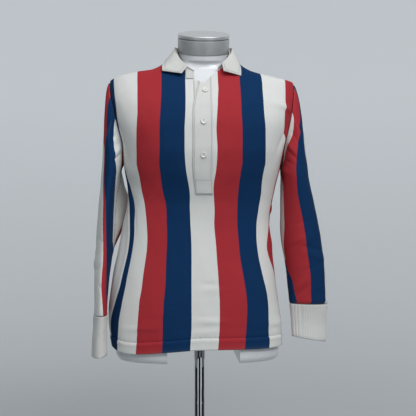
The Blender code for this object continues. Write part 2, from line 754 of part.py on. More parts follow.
def neckline():
    """Neckline corners of both panels: angle round the neck from the back, point and up direction."""
    found = []
    for panel in ("front", "back"):
        grid, out, _ = PANELS[panel]
        for point, direction in zip(grid[-1], out[-1]):
            if abs(point[0] - NECK_CENTRE) < NECK_HALF_WIDTH + MM:
                angle = math.degrees(math.atan2(point[0] - NECK_CENTRE, point[1]))
                found.append((angle, *point, *direction))
    found = np.array(sorted(found))
    run = np.gradient(found[:, 1:4], axis=0)
    rise = np.cross(found[:, 4:7], run)
    rise *= np.sign(rise[:, 2:3])
    found[:, 4:7] = rise / np.linalg.norm(rise, axis=1, keepdims=True)
    return found


def collar_place(part, angle):
    """Point of the collar's table at a signed angle from the back."""
    rows = np.array(COLLAR, float)
    at = [curve(rows[:, 0], rows[:, COLLAR_COLUMNS.index(f"{part}_{axis}")], angle) for axis in "xyz"]
    return np.array((NECK_CENTRE, 0, 0)) + np.array(at) * MM


def eased(value, start, stop):
    """Soft step from 0 at start to 1 at stop."""
    t = min(1.0, max(0.0, (value - start) / (stop - start)))
    return t * t * (3 - 2 * t)


def stand_angles():
    """Angles of the stand's columns, from the wearer's left end to the right."""
    even = np.linspace(STAND_ENDS[0], STAND_ENDS[1], STAND_COLUMNS + 1)
    return np.array(sorted((*even, *LAP_ANGLES[2:]), reverse=True))


def stand_column(line, angle):
    """Outer points of the stand at an angle, from its foot up."""
    place = np.array([np.interp(angle, line[:, 0], line[:, k]) for k in range(1, 7)])
    lap = (COLLAR_CLOTH + LAY_GAP) * eased(angle, LAP_ANGLES[0], LAP_ANGLES[1])
    foot = place[:3] + place[3:] * STAND_LIFT + out_direction(*place[:3]) * lap
    top = collar_place("top", angle)
    column = []
    for k in range(STAND_ROWS + 1):
        share = k / STAND_ROWS
        point = foot + (top - foot) * share
        if angle <= LAP_ANGLES[3] and k < STAND_ROWS:
            x = place[0] + (top[0] - place[0]) * share
            height = LAP_FOOT + (top[2] - LAP_FOOT) * share
            point = np.array((x, float(surface_y("front", x, height)), height))
            point += out_direction(*point) * lap
        column.append(point)
    return column


def stand_grid():
    """Outer points of the collar stand, round the back from end to end."""
    line = neckline()
    return np.array([stand_column(line, angle) for angle in stand_angles()]).transpose(1, 0, 2)


def fall_column(angle, rows):
    """Outer points of the fall at an angle: a soft bend at the back, a pressed corner at the front."""
    roll = collar_place("roll", angle)
    mid = collar_place("mid", angle)
    edge = collar_place("edge", angle)
    crisp = eased(abs(angle), *CORNER_ANGLES)
    column = []
    for k in range(rows + 1):
        t = k / rows
        bend = (1 - t) * (1 - 2 * t) * edge + 4 * t * (1 - t) * mid + t * (2 * t - 1) * roll
        if t < FALL_CORNER:
            pressed = edge + (mid - edge) * t / FALL_CORNER
        else:
            pressed = mid + (roll - mid) * (t - FALL_CORNER) / (1 - FALL_CORNER)
        column.append(bend * (1 - crisp) + pressed * crisp)
    return column


def fall_grid():
    """Outer points of the collar fall from its free edge up to the roll."""
    angles = np.linspace(FALL_END, -FALL_END, FALL_COLUMNS + 1)
    return np.array([fall_column(angle, FALL_ROWS) for angle in angles]).transpose(1, 0, 2)


def make_collar():
    """Stand, fall and the plain label inside the stand."""
    stand = stand_grid()
    finish(cloth(loft("collar_stand", stand), COLLAR_CLOTH), "twill")
    finish(cloth(loft("collar_fall", fall_grid()), COLLAR_CLOTH), "twill")
    inward = -normals(stand)
    columns = [j for j, a in enumerate(stand_angles()) if LABEL_ANGLES[0] <= a <= LABEL_ANGLES[1]]
    rows = []
    for share in LABEL_ROWS:
        at = share * STAND_ROWS
        i = int(at)
        row = stand[i, columns] * (1 - at + i) + stand[i + 1, columns] * (at - i)
        rows.append(row + inward[i, columns] * (COLLAR_CLOTH + LABEL_GAP))
    label = loft("neck_label", np.array(rows))
    finish(cloth(label, LABEL_THICKNESS), "label")


def overlap_shift(height):
    """Share of the overlap's turn to the side at a height, where the neck is open."""
    rise = (height - OVERLAP_TURN_HEIGHT) / (NECK_FOOT - OVERLAP_TURN_HEIGHT)
    return min(1.0, max(0.0, rise)) ** OVERLAP_TURN_POWER


def strip_grid(front, left, right, foot, lift, columns, turn=0.0):
    """Outer points of a placket strip made from the front's own points, moved out."""
    grid, out, shares = front
    heights = grid[:, shares.index(0.0), 2]
    lines = []
    for row in [None] + [i for i, z in enumerate(heights) if z > foot + STRIP_STEP]:
        line = []
        for j in range(columns + 1):
            start = left + turn * overlap_shift(foot if row is None else heights[row])
            share = start + (right - start) * j / columns
            if row is None:
                point, direction = on_grid(grid, out, shares, share, foot)
            else:
                point, direction = on_row(grid[row], out[row], shares, share)
            line.append(point + direction * lift)
        lines.append(line)
    return np.array(lines)


def on_row(points, leans, shares, share):
    """Place and outward direction on one row of a panel at a share across."""
    point = np.array([np.interp(share, shares, points[:, k]) for k in range(3)])
    direction = np.array([np.interp(share, shares, leans[:, k]) for k in range(3)])
    return point, direction / np.linalg.norm(direction)


def make_placket(front):
    """Underlap in the slot of the front, overlap laid over it, and the buttons."""
    grid, out, shares = front
    left, right = slot_shares()
    run = SLOT_RIGHT / right
    gap = 1.2 * SEAM_GAP / run
    under = strip_grid(front, left + gap, right - gap, PLACKET_FOOT + SEAM_GAP, 0.0, 4)
    finish(cloth(loft("placket_underlap", under), TWILL), "twill")
    lift = TWILL + OVERLAP_GAP
    over = strip_grid(
        front, OVERLAP_LEFT / run, OVERLAP_RIGHT / run, OVERLAP_FOOT, lift, 5, OVERLAP_TOP_SHIFT / run
    )
    finish(cloth(loft("placket_overlap", over), TWILL), "twill")
    for number, height in enumerate(BUTTON_HEIGHTS, 1):
        share = (BUTTON_ARC + 0.5 * OVERLAP_TOP_SHIFT * overlap_shift(height)) / run
        point, direction = on_grid(grid, out, shares, share, height)
        seat = Vector(point) + Vector(direction) * (lift + LAY_GAP)
        button(f"button_{number}", seat, Vector(direction))


def turned(name, profile, segments):
    """Solid turned about Z from a profile of (radius, height) running down its outer side."""
    mesh = bpy.data.meshes.new(name)
    edges = [(i, i + 1) for i in range(len(profile) - 1)]
    mesh.from_pydata([(r, 0, z) for r, z in profile], edges, [])
    obj = bpy.data.objects.new(name, mesh)
    PART.objects.link(obj)
    screw = obj.modifiers.new("turn", "SCREW")
    screw.angle = 2 * math.pi
    screw.steps = segments
    screw.render_steps = segments
    screw.use_merge_vertices = True
    screw.merge_threshold = 0.00001
    return obj


def button(name, seat, out):
    """Flat button with a dished face, seated along an outward direction."""
    profile = (
        (0, BUTTON_THICKNESS - BUTTON_DISH),
        (BUTTON_RADIUS - 2 * BUTTON_RIM, BUTTON_THICKNESS - BUTTON_DISH),
        (BUTTON_RADIUS - BUTTON_RIM, BUTTON_THICKNESS),
        (BUTTON_RADIUS - 0.4 * BUTTON_RIM, BUTTON_THICKNESS),
        (BUTTON_RADIUS, 0.6 * BUTTON_THICKNESS),
        (BUTTON_RADIUS - 0.5 * BUTTON_RIM, 0),
        (0, 0),
    )
    obj = turned(name, profile, 18)
    obj.location = seat
    obj.rotation_mode = "QUATERNION"
    obj.rotation_quaternion = out.to_track_quat("Z", "Y")
    finish(obj, "button")


def form_rings():
    """Rings of the moulded torso from the foot to the neck."""
    angles = np.linspace(-math.pi, math.pi, FORM_RING_POINTS, endpoint=False)
    rings = []
    for level, extra in FORM_LEVELS:
        x, y = ring_xy(level * MM + JERSEY + FORM_DROP, angles, JERSEY + FORM_EASE + extra * MM)
        rings.append(np.column_stack((x, y, np.full_like(x, level * MM))))
    for height, half, front, back, along, aside, tilt in FORM_NECK:
        x = half * np.sin(angles)
        y = np.where(np.cos(angles) > 0, -front * np.cos(angles), -back * np.cos(angles))
        lean = NECK_TILT * tilt
        ring = np.column_stack((aside + x, along + y * math.cos(lean), height + y * math.sin(lean)))
        rings.append(ring * MM)
    return np.array(rings)


def capped(name, rings):
    """Closed solid through rings, flat at both ends."""
    rows, cols = rings.shape[:2]
    faces = []
    for i in range(rows - 1):
        for j in range(cols):
            k = (j + 1) % cols
            faces.append((i * cols + j, i * cols + k, (i + 1) * cols + k, (i + 1) * cols + j))
    faces.append(tuple(range(cols - 1, -1, -1)))
    faces.append(tuple((rows - 1) * cols + j for j in range(cols)))
    return new_mesh_object(name, rings.reshape(-1, 3), faces)


def make_form():
    """Torso with the arch between its thigh stubs, neck cap and lid."""
    torso = capped("form_torso", form_rings())
    arch = bpy.data.meshes.new("arch_cutter")
    middle = (ARCH_LEFT + ARCH_RIGHT) / 2
    half = (ARCH_RIGHT - ARCH_LEFT) / 2
    outline = [(middle - half, ARCH_FOOT), (middle + half, ARCH_FOOT)]
    for first, hand in ((0.0, 1), (90.0, -1)):
        for k in range(ARCH_STEPS + 1):
            angle = math.radians(first + 90 * k / ARCH_STEPS)
            x = middle + hand * (half - ARCH_CORNER) + ARCH_CORNER * math.cos(angle)
            outline.append((x, ARCH_TOP - ARCH_CORNER + ARCH_CORNER * math.sin(angle)))
    count = len(outline)
    points = [(x, -ARCH_REACH, z) for x, z in outline] + [(x, ARCH_REACH, z) for x, z in outline]
    faces = [tuple(range(count)), tuple(range(2 * count - 1, count - 1, -1))]
    faces += [(i, i + count, (i + 1) % count + count, (i + 1) % count) for i in range(count)]
    arch.from_pydata(points, [], faces)
    cutter = bpy.data.objects.new("arch_cutter", arch)
    CUTTERS.objects.link(cutter)
    cutter.display_type = "WIRE"
    cutter.hide_render = True
    cut = torso.modifiers.new("arch", "BOOLEAN")
    cut.object = cutter
    cut.operation = "DIFFERENCE"
    cut.solver = "EXACT"
    finish(torso, "shell")
    cap_profile = (
        (0, CAP_HEIGHT),
        (CAP_RADIUS - CAP_BEVEL, CAP_HEIGHT),
        (CAP_RADIUS, CAP_HEIGHT - CAP_BEVEL),
        (CAP_RADIUS, CAP_BEVEL),
        (CAP_RADIUS - CAP_BEVEL, 0),
        (0, 0),
    )
    cap = turned("neck_cap", cap_profile, CAP_SEGMENTS)
    lid_profile = (
        (0, LID_HEIGHT),
        (CAP_RADIUS - LID_BEVEL, LID_HEIGHT),
        (CAP_RADIUS, LID_HEIGHT - LID_BEVEL),
        (CAP_RADIUS, 0.5 * LID_BEVEL),
        (CAP_RADIUS - 0.5 * LID_BEVEL, 0),
        (CAP_RADIUS - LID_LIP, 0),
        (CAP_RADIUS - LID_LIP, SEAM_GAP - LID_GROOVE),
        (0, SEAM_GAP - LID_GROOVE),
    )
    lid = turned("neck_lid", lid_profile, CAP_SEGMENTS)
    axis = Vector((0, -math.sin(NECK_TILT), math.cos(NECK_TILT)))
    for obj, up in ((cap, 0.0), (lid, CAP_HEIGHT + LID_GROOVE)):
        obj.location = CAP_BASE + axis * up
        obj.rotation_euler = (NECK_TILT, 0, 0)
        finish(obj, "cap")


def make_stand():
    """Pole, socket under the torso, and the round base."""
    socket_top = ARCH_TOP - SEAM_GAP
    socket = turned(
        "pole_socket",
        (
            (POLE_RADIUS + SEAM_GAP, socket_top),
            (SOCKET_RADIUS + SOCKET_FLANGE, socket_top),
            (SOCKET_RADIUS + SOCKET_FLANGE, socket_top - FLANGE_THICKNESS),
            (SOCKET_RADIUS, socket_top - FLANGE_THICKNESS - FLANGE_FILLET),
            (SOCKET_RADIUS, socket_top - SOCKET_HEIGHT),
            (POLE_RADIUS + SEAM_GAP, socket_top - SOCKET_HEIGHT),
            (POLE_RADIUS + SEAM_GAP, socket_top),
        ),
        STAND_SEGMENTS,
    )
    finish(socket, "chrome")
    pole_low = BASE_THICKNESS + SEAM_GAP
    pole_high = socket_top - SEAM_GAP
    pole_profile = ((0, pole_high), (POLE_RADIUS, pole_high), (POLE_RADIUS, pole_low), (0, pole_low))
    finish(turned("pole", pole_profile, STAND_SEGMENTS), "chrome")
    boss = turned(
        "pole_boss",
        (
            (POLE_RADIUS + SEAM_GAP, pole_low + BOSS_HEIGHT),
            (BOSS_RADIUS - BOSS_BEVEL, pole_low + BOSS_HEIGHT),
            (BOSS_RADIUS, pole_low + BOSS_HEIGHT - BOSS_BEVEL),
            (BOSS_RADIUS, pole_low),
            (POLE_RADIUS + SEAM_GAP, pole_low),
            (POLE_RADIUS + SEAM_GAP, pole_low + BOSS_HEIGHT),
        ),
        STAND_SEGMENTS,
    )
    finish(boss, "chrome")
    base = turned(
        "base",
        (
            (0, BASE_THICKNESS),
            (BASE_RADIUS - BASE_SLOPE, BASE_THICKNESS),
            (BASE_RADIUS - BASE_EDGE, BASE_THICKNESS - BASE_EDGE),
            (BASE_RADIUS, BASE_RIM),
            (BASE_RADIUS, 0),
            (0, 0),
        ),
        BASE_SEGMENTS,
    )
    finish(base, "chrome")


for old in list(bpy.data.objects):
    bpy.data.objects.remove(old)
PART = bpy.data.collections.new("rugby_shirt")
bpy.context.scene.collection.children.link(PART)
CUTTERS = bpy.data.collections.new("cutters")
bpy.context.scene.collection.children.link(CUTTERS)

PANELS = {panel: body_grid(panel) for panel in ("front", "back")}
make_body()
make_sleeves()
make_collar()
make_placket(PANELS["front"])
make_form()
make_stand()
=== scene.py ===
"""Long-sleeved rugby shirt on a limbless dress form with a round stand, metres, +Z up, front facing -Y."""

import math

import bmesh
import bpy
import numpy as np
from mathutils import Matrix, Vector


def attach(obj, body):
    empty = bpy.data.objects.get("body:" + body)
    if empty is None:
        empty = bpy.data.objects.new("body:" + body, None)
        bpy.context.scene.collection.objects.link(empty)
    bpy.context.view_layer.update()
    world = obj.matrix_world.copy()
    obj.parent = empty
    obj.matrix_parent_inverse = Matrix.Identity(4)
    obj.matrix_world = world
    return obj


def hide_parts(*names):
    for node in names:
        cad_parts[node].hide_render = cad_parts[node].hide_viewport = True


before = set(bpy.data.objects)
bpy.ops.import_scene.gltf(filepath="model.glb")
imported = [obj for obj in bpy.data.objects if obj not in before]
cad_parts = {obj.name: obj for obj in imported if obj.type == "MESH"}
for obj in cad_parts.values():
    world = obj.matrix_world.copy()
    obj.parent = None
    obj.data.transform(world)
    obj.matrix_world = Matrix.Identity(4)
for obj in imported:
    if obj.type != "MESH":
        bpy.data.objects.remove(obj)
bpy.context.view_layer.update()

MM = 0.001
WELD = 0.01 * MM

# Cloth walls and the gaps between them, metres.
JERSEY = 1.6 * MM
TWILL = 1.6 * MM
COLLAR_CLOTH = 2.0 * MM
RIB = 2.4 * MM
LABEL_CLOTH = 1.0 * MM
LABEL_GAP = 0.7 * MM
SEAM_GAP = 0.3 * MM
LAY_GAP = 0.35 * MM
OVERLAP_GAP = 0.8 * MM

# Body of the shirt: landmarks from the floor, and how its grain lines run, in metres and shares across.
UNDERARM = 825 * MM
SHOULDER_TIP = 1012 * MM
ARMHOLE_HALF_OPENING = 52 * MM
SIDE_SHARE = 0.85
SEAM_SHARE = 0.9999
SIDE_MARGIN = 115 * MM
NECK_CENTRE = 8 * MM
NECK_HALF_WIDTH = 66 * MM
NECK_FOOT = 998 * MM
GRAIN_SPREAD = 3
# Half of a panel (mm), and where its folds fade out towards the sides (share) and the top (mm).
PANEL_HALF = 240
PANEL_COLUMNS = 161
EDGE_FADE = 0.08
TOP_ROW = 3.0
TOP_FADE = 30

# Turned hem, millimetres: depth, step at its upper edge, and how far up its finer rows go.
HEM_DEPTH = 24
HEM_LEDGE = 1.0
LEDGE_SOFTNESS = 0.5
HEM_TURN = 27
# Ridges and grooves beside an edge, millimetres: rise (a groove below zero), distance from it, half width.
HEM_RIDGES = ((0.7, 20, 4.5), (-1.3, 25.5, 1.6), (-0.4, 21.5, 0.9), (-0.7, 0, 0.8))
SIDE_RIDGES = ((-0.8, 0, 1.8), (0.3, 5, 2))
CAP_RIDGE = (-0.7, 0, 1.6)
CUFF_SEAM_RIDGE = (-0.6, 0, 1.4)
FALL_RIDGES = ((-0.45, 5.5, 1.0), (-0.5, 0, 0.8))
OVERLAP_RIDGES = ((-0.35, 2.6, 0.8), (-0.4, 0, 0.7))
OVERLAP_BAR = (-0.3, 31, 0.9)
# Pucker that the hem's stitching draws up, and its uneven wave along the hem (radians a millimetre).
HEM_PUCKER = (0.45, HEM_TURN, 7)
PUCKER_WAVE = 0.55
PUCKER_DRIFT = 0.05
PUCKER_SWAY = 1.4
# Slack of resting cloth, millimetres: waves, their lengths and rises, and the reach round a tube.
SLACK_WAVES = 7
SLACK_LENGTHS = (38, 23)
SLACK_RISES = (0.12, 0.03)
SLACK_REACH = 60
# Each wave's turn and shift from the one before, and how a seed shifts them all (radians).
SLACK_TURN = 1.7
SLACK_SHIFT = 2.3
SLACK_SEED_SHIFT = 1.3
BODY_SEEDS = {"front": 0.4, "back": 2.1}
FALL_SEED = 4.2
OVERLAP_SEED = 5.0
OVERLAP_SLACK = 0.25
SLEEVE_SEED = 1.1
CUFF_SEED = 3.0
# Rubbed cloth, millimetres: crest where wear starts, rise to full wear, its share and reach along an edge.
WEAR_START = 2.0
WEAR_RISE = 12.0
WEAR_EDGE = 0.8
WEAR_REACH = 2.5

# Placket: arc distances from the centre front, heights from the floor.
SLOT = (-13 * MM, 18 * MM)
PLACKET_FOOT = 768 * MM
OVERLAP = (-17.5 * MM, 26 * MM)
OVERLAP_FOOT = 760 * MM
OVERLAP_TOP_SHIFT = 15 * MM
OVERLAP_TURN_HEIGHT = 935 * MM
OVERLAP_TURN_POWER = 1.3
BUTTON_ARC = 6.5 * MM
BUTTON_HEIGHTS = (982 * MM, 913 * MM, 843 * MM)

# Level sections of the worn shirt, millimetres: height from the floor, half width, front and back depth,
# sideways centre, squareness of the outline, turn of the centre front and of the side seams along the arc.
SECTION_COLUMNS = ("height", "half_width", "front", "back", "centre", "square", "turn", "side_turn")
SECTIONS = (
    (400, 191, 95, 102, -3, 2.3, 8, 6),
    (419, 192, 96, 103, -5, 2.3, 10, 11),
    (476, 194, 97, 108, -10, 2.3, 18, 28),
    (521, 191, 96, 108, -13, 2.3, 22, 48),
    (567, 185, 92, 100, -12, 2.3, 20, 56),
    (635, 174, 84, 88, -9, 2.3, 14, 55),
    (691, 166, 81, 82, -7, 2.3, 10, 46),
    (737, 163, 85, 86, 0, 2.3, 2, 27),
    (771, 166, 95, 94, 4, 2.3, -4, 10),
    (816, 175, 111, 107, 6, 2.4, -10, 0),
    (862, 183, 120, 116, 8, 2.6, -12, 0),
    (905, 194, 119, 119, 7, 2.9, -12, 0),
    (950, 204, 108, 114, 6, 3.0, -9, 0),
    (985, 209, 88, 100, 5, 3.0, -4, 0),
    (1012, 207, 71, 86, 5, 2.8, 0, 0),
    (1022, 187, 66, 80, -3, 2.5, 0, 0),
    (1031, 153, 62, 76, -7, 2.3, 0, 0),
    (1040, 115, 58, 72, 2, 2.1, 0, 0),
    (1055, 88, 54, 66, 5, 2.0, 0, 0),
    (1077, 60, 48, 58, 8, 2.0, 0, 0),
)

# Hem line, millimetres: share of the way from centre front to side seam (left side negative), height.
HEM_LINE = {
    "front": ((-1.0, 422), (-0.7, 413), (-0.35, 419), (0.0, 425), (0.5, 423), (1.0, 421)),
    "back": ((-1.0, 422), (-0.4, 418), (0.4, 418), (1.0, 421)),
}

# Necklines, millimetres: place across from the neck's centre, height.
NECK_LINE = {
    "front": (
        (-66, 1072), (-57, 1053), (-42, 1031), (-24, 1012), (-10, 1004), (-2, 999), (7, 1009), (18, 1021),
        (28, 1030), (42, 1041), (57, 1055), (66, 1072),
    ),
    "back": ((-66, 1072), (-52, 1069), (-30, 1067), (30, 1067), (52, 1069), (66, 1072)),
}

# Folds and creases of each panel: share across, height, half length, half width, rise (mm, a trough
# below zero), slope (degrees).
BODY_FOLDS = {
    "front": (
        (0.80, 950, 42, 9, 3.0, -12), (0.84, 868, 45, 12, 3.5, 62), (0.93, 716, 30, 11, 6.0, -38),
        (0.90, 668, 34, 11, 4.0, 30), (-0.88, 845, 40, 12, 3.5, -62), (-0.95, 735, 60, 10, 3.0, 82),
        (-0.60, 470, 38, 8, 2.2, 3), (0.05, 486, 34, 8, 2.4, -4), (0.02, 462, 30, 7, 2.0, 2),
        (0.72, 474, 34, 8, 2.2, -5), (0.55, 1000, 30, 9, 1.6, 20),
    ),
    "back": (
        (-0.76, 590, 75, 16, 6.0, 84), (-0.55, 640, 70, 13, 4.0, 78), (0.50, 655, 80, 13, 4.0, 100),
        (0.90, 600, 80, 14, 5.0, 96), (-0.75, 870, 48, 13, 4.0, 60), (0.75, 870, 48, 13, 4.0, 120),
        (0.10, 715, 60, 12, 4.5, 4), (-0.20, 690, 55, 11, 4.0, -6), (0.30, 470, 36, 9, 2.5, 2),
    ),
}

# Finer creases pressed into the body, same columns: troughs beside ridges, uneven.
BODY_CREASES = {
    "front": (
        (0.86, 938, 26, 3.5, -1.8, -12), (0.84, 946, 24, 5.0, 1.3, -13), (0.95, 905, 20, 3.5, -1.5, 40),
        (0.80, 884, 34, 4.5, -1.8, 58), (0.90, 842, 30, 4.0, -1.6, 64), (0.96, 800, 40, 4.5, -1.8, 80),
        (-0.82, 862, 34, 4.5, -1.8, -58), (-0.93, 812, 34, 4.0, -1.6, -72), (-0.90, 905, 22, 3.5, -1.4, -30),
        (-0.72, 988, 22, 4.0, -1.0, 14), (-0.80, 972, 20, 4.0, -1.1, 24), (0.60, 990, 24, 4.0, -0.9, -16),
        (0.86, 735, 26, 4.0, -1.8, -34), (0.95, 702, 20, 3.5, -2.2, -40), (0.84, 700, 24, 4.5, -1.5, 22),
        (0.92, 680, 22, 4.0, -1.6, 34), (0.90, 650, 30, 4.5, -1.0, 60), (-0.90, 700, 50, 5.0, -1.2, 84),
        (0.04, 566, 26, 4.0, -1.5, -4), (0.02, 553, 22, 5.0, 1.0, 3), (0.10, 540, 18, 3.0, -0.7, 6),
        (0.02, 496, 30, 2.6, -0.9, -3), (0.08, 478, 26, 2.4, -1.0, 2), (-0.05, 470, 22, 2.2, -0.8, -5),
        (0.03, 459, 30, 2.4, -0.9, 3), (-0.52, 492, 24, 2.8, -0.8, 4), (-0.70, 476, 22, 2.4, -1.1, -4),
        (-0.60, 462, 26, 2.4, -0.9, 5), (-0.28, 468, 24, 2.6, -0.7, -3), (0.30, 470, 24, 2.6, -0.7, 4),
        (0.50, 462, 22, 2.6, -0.7, -5), (0.74, 492, 24, 2.6, -0.9, -6), (0.70, 466, 28, 2.4, -1.0, 4),
        (0.84, 478, 20, 2.4, -0.9, -8), (-0.12, 812, 12, 3.0, -0.9, 60), (0.14, 792, 14, 3.0, -0.9, 50),
        (0.12, 812, 14, 3.0, -0.8, 66),
    ),
    "back": (
        (-0.72, 610, 60, 5.0, -1.8, 84), (-0.62, 660, 60, 5.0, -1.6, 78), (0.44, 665, 70, 5.0, -1.7, 100),
        (0.82, 620, 60, 5.0, -1.8, 96), (-0.70, 880, 40, 4.5, -1.6, 58), (0.70, 880, 40, 4.5, -1.6, 122),
        (0.05, 700, 46, 4.5, -1.6, 3), (-0.15, 676, 44, 4.0, -1.4, -8), (0.24, 730, 40, 4.0, -1.3, 6),
        (-0.40, 470, 26, 2.4, -0.9, 4), (0.35, 462, 30, 2.4, -0.9, -3), (0.70, 478, 26, 2.6, -0.9, 5),
    ),
}

# Stripe edges of the front from the wearer's right side to the left: height, then the shares across where
# one colour meets the next.
STRIPE = 62
FRONT_STRIPES = (
    (433, -0.846, -0.629, -0.383, -0.128, 0.124, 0.372, 0.624, 0.840),
    (465, -0.851, -0.637, -0.394, -0.129, 0.122, 0.366, 0.594, 0.821),
    (531, -0.901, -0.699, -0.437, -0.150, 0.112, 0.342, 0.551, 0.733),
    (574, -0.921, -0.716, -0.449, -0.156, 0.109, 0.326, 0.514, 0.703),
    (639, -0.925, -0.727, -0.468, -0.154, 0.109, 0.312, 0.487, 0.600),
    (693, -0.916, -0.732, -0.465, -0.158, 0.105, 0.319, 0.514, 0.700),
    (726, -0.887, -0.722, -0.449, -0.157, 0.112, 0.331, 0.556, 0.742),
    (769, -0.860, -0.684, -0.430, -0.134, 0.110, 0.352, 0.604, 0.825),
    (812, -0.880, -0.634, -0.391, -0.137, 0.139, 0.365, 0.597, 0.837),
    (855, -0.930, -0.634, -0.385, -0.148, 0.145, 0.362, 0.583, 0.930),
    (897, -0.962, -0.619, -0.383, -0.148, 0.136, 0.359, 0.572, 0.824),
    (940, -0.914, -0.597, -0.371, -0.138, 0.147, 0.352, 0.553, 0.794),
    (986, -0.896, -0.590, -0.359, -0.135, 0.162, 0.352, 0.546, 0.799),
)
FIRST_EDGE = -3.5
SIDE_STRIPE = 0.2
BACK_HALF_STRIPES = 3.45

# Sleeve sections below the armhole and cuff rings, millimetres: height, centre out from the middle plane,
# centre along Y, half width, half depth, yaw in degrees, fall of the outer side.
SLEEVES = {
    "left": (
        (800, 218, 2, 31, 72, -4, 0),
        (737, 224, 2, 39, 62, -2, 0),
        (657, 233, 0, 46, 51, 0, 0),
        (589, 242, -4, 45, 42, 2, 0),
        (521, 248, -8, 45, 31, 4, 0),
    ),
    "right": (
        (800, 202, -4, 20, 77, 4, 0),
        (748, 208, -9, 18, 75, 4, 0),
        (635, 214, -22, 19, 66, 4, 0),
        (560, 218, -43, 16, 54, 5, 0),
        (503, 219, -53, 14, 49, 6, 0),
    ),
}
CUFFS = {
    "left": (
        (513, 248, -8, 44, 27, 4, 1),
        (490, 248, -9, 42, 22, 4, 2),
        (462, 248, -10, 40, 19, 4, 5),
        (434, 248, -12, 39, 20, 4, 7),
    ),
    "right": (
        (498, 219, -54, 15, 46, 6, 0),
        (470, 220, -56, 15, 44, 6, 0),
        (440, 221, -58, 16, 44, 6, 1),
        (412, 221, -60, 17, 45, 6, 2),
    ),
}
SLEEVE_GAP = 1.2 * MM
CUFF_GAP = 1.2 * MM
# Cap of the sleeve: pull of its curve at either end, the slopes there, and how its rows crowd to the seam.
CAP_LEAVE = 0.07
CAP_ARRIVE = 0.36
CAP_SLOPE = 0.8
CAP_LEAN = 0.12
CAP_CROWDING = 1.25
CAP_FADE = 25
CUFF_FADE = 18
SLEEVE_DEGREE = 0.95
CAP_ROWS = 56
SLEEVE_ROWS = 80
SLEEVE_POINTS = 200

# Folds and creases of each sleeve: angle round from the outside (degrees, front positive), height,
# half length, half width, rise (mm), slope (degrees).
SLEEVE_FOLDS = {
    "left": (
        (70, 905, 36, 9, 3.5, 62), (110, 868, 30, 9, 4.0, 40), (150, 815, 26, 9, 3.0, 20),
        (95, 660, 34, 10, 3.0, -18), (60, 622, 30, 9, 2.5, 14), (120, 560, 30, 8, 2.5, -30),
        (-70, 890, 40, 10, 4.0, 60), (-100, 650, 34, 10, 3.5, 16),
    ),
    "right": (
        (70, 900, 40, 10, 4.0, 68), (120, 860, 30, 9, 4.0, 44), (165, 640, 34, 10, 3.0, -16),
        (20, 610, 34, 9, 2.5, 18), (-60, 880, 40, 10, 4.0, 58), (-110, 640, 34, 10, 3.0, -14),
        (-137, 756, 42, 25, 35.0, 90), (-142, 690, 44, 24, 23.0, 90),
    ),
}

# Finer creases of the sleeves, same columns.
SLEEVE_CREASES = {
    "left": (
        (62, 915, 34, 4.0, -1.8, 60), (84, 884, 30, 4.5, -2.0, 48), (104, 848, 28, 4.0, -2.0, 34),
        (130, 835, 26, 4.0, -1.8, 24), (88, 700, 30, 4.0, -1.4, -12), (70, 640, 32, 4.0, -1.8, 10),
        (110, 652, 26, 4.0, -1.6, -24), (80, 598, 28, 4.0, -1.5, -16), (115, 545, 26, 3.5, -1.6, -34),
        (60, 540, 24, 3.5, -1.2, 28), (-80, 900, 34, 4.5, -1.8, 56), (-95, 660, 30, 4.5, -1.8, 14),
        (-60, 620, 28, 4.0, -1.5, -12),
    ),
    "right": (
        (60, 915, 34, 4.0, -1.8, 64), (92, 880, 30, 4.5, -2.0, 52), (120, 842, 28, 4.0, -1.8, 36),
        (60, 660, 32, 4.0, -1.4, -14), (48, 600, 30, 4.0, -1.4, 14), (80, 560, 26, 3.5, -1.4, -22),
        (-20, 640, 34, 4.5, -1.8, 12), (-60, 700, 34, 4.5, -1.6, -16), (-80, 600, 30, 4.0, -1.6, 16),
        (-165, 792, 26, 16, 8.0, 90),
    ),
}

# Stripe edges of the sleeves: height, then arc lengths (mm) round from the outside, front positive, where
# one colour meets the next. Stripes run white, red, navy from the first edge on; below the low seam's height
# the left sleeve's inner seam joins red to the back's navy.
LOW_SEAM_HEIGHT = 612
LOW_SEAM_STRIPE = 60
STRIPE_END = 0.49
SLEEVE_STRIPES = {
    "left": (
        (500, -185, -135, -82, -28, 24, 59, 84, 85),
        (530, -185, -135, -82, -28, 23, 63, 97, 98),
        (574, -185, -135, -82, -28, 22, 66, 112, 114),
        (600, -185, -135, -82, -28, 23, 69, 131, 134),
        (640, -185, -135, -82, -28, 24, 74, 136, 186),
        (700, -185, -135, -82, -28, 25, 79, 130, 188),
        (780, -185, -135, -82, -28, 27, 88, 140, 190),
        (820, -185, -135, -82, -28, 28, 87, 182, 192),
        (855, -185, -135, -82, -28, 45, 85, 168, 190),
        (872, -185, -135, -82, -28, 43, 80, 140, 186),
        (890, -185, -135, -82, -28, 39, 72, 118, 176),
        (912, -185, -135, -82, -28, 34, 62, 102, 170),
        (930, -185, -135, -82, -28, 28, 48, 96, 165),
        (1000, -185, -135, -82, -28, 10, 30, 90, 160),
    ),
    "right": (
        (500, -205, -150, -95, -12, 58, 92, 150, 205),
        (550, -205, -150, -95, -12, 58, 74, 140, 200),
        (640, -205, -135, -80, -12, 71, 78, 126, 190),
        (740, -205, -118, -66, -12, 70, 77, 122, 190),
        (804, -205, -118, -66, -12, 53, 58, 106, 185),
        (860, -205, -118, -66, -12, 43, 51, 106, 180),
        (890, -205, -125, -72, -12, 6, 56, 110, 180),
        (1000, -205, -130, -75, -20, -4, 60, 115, 180),
    ),
}

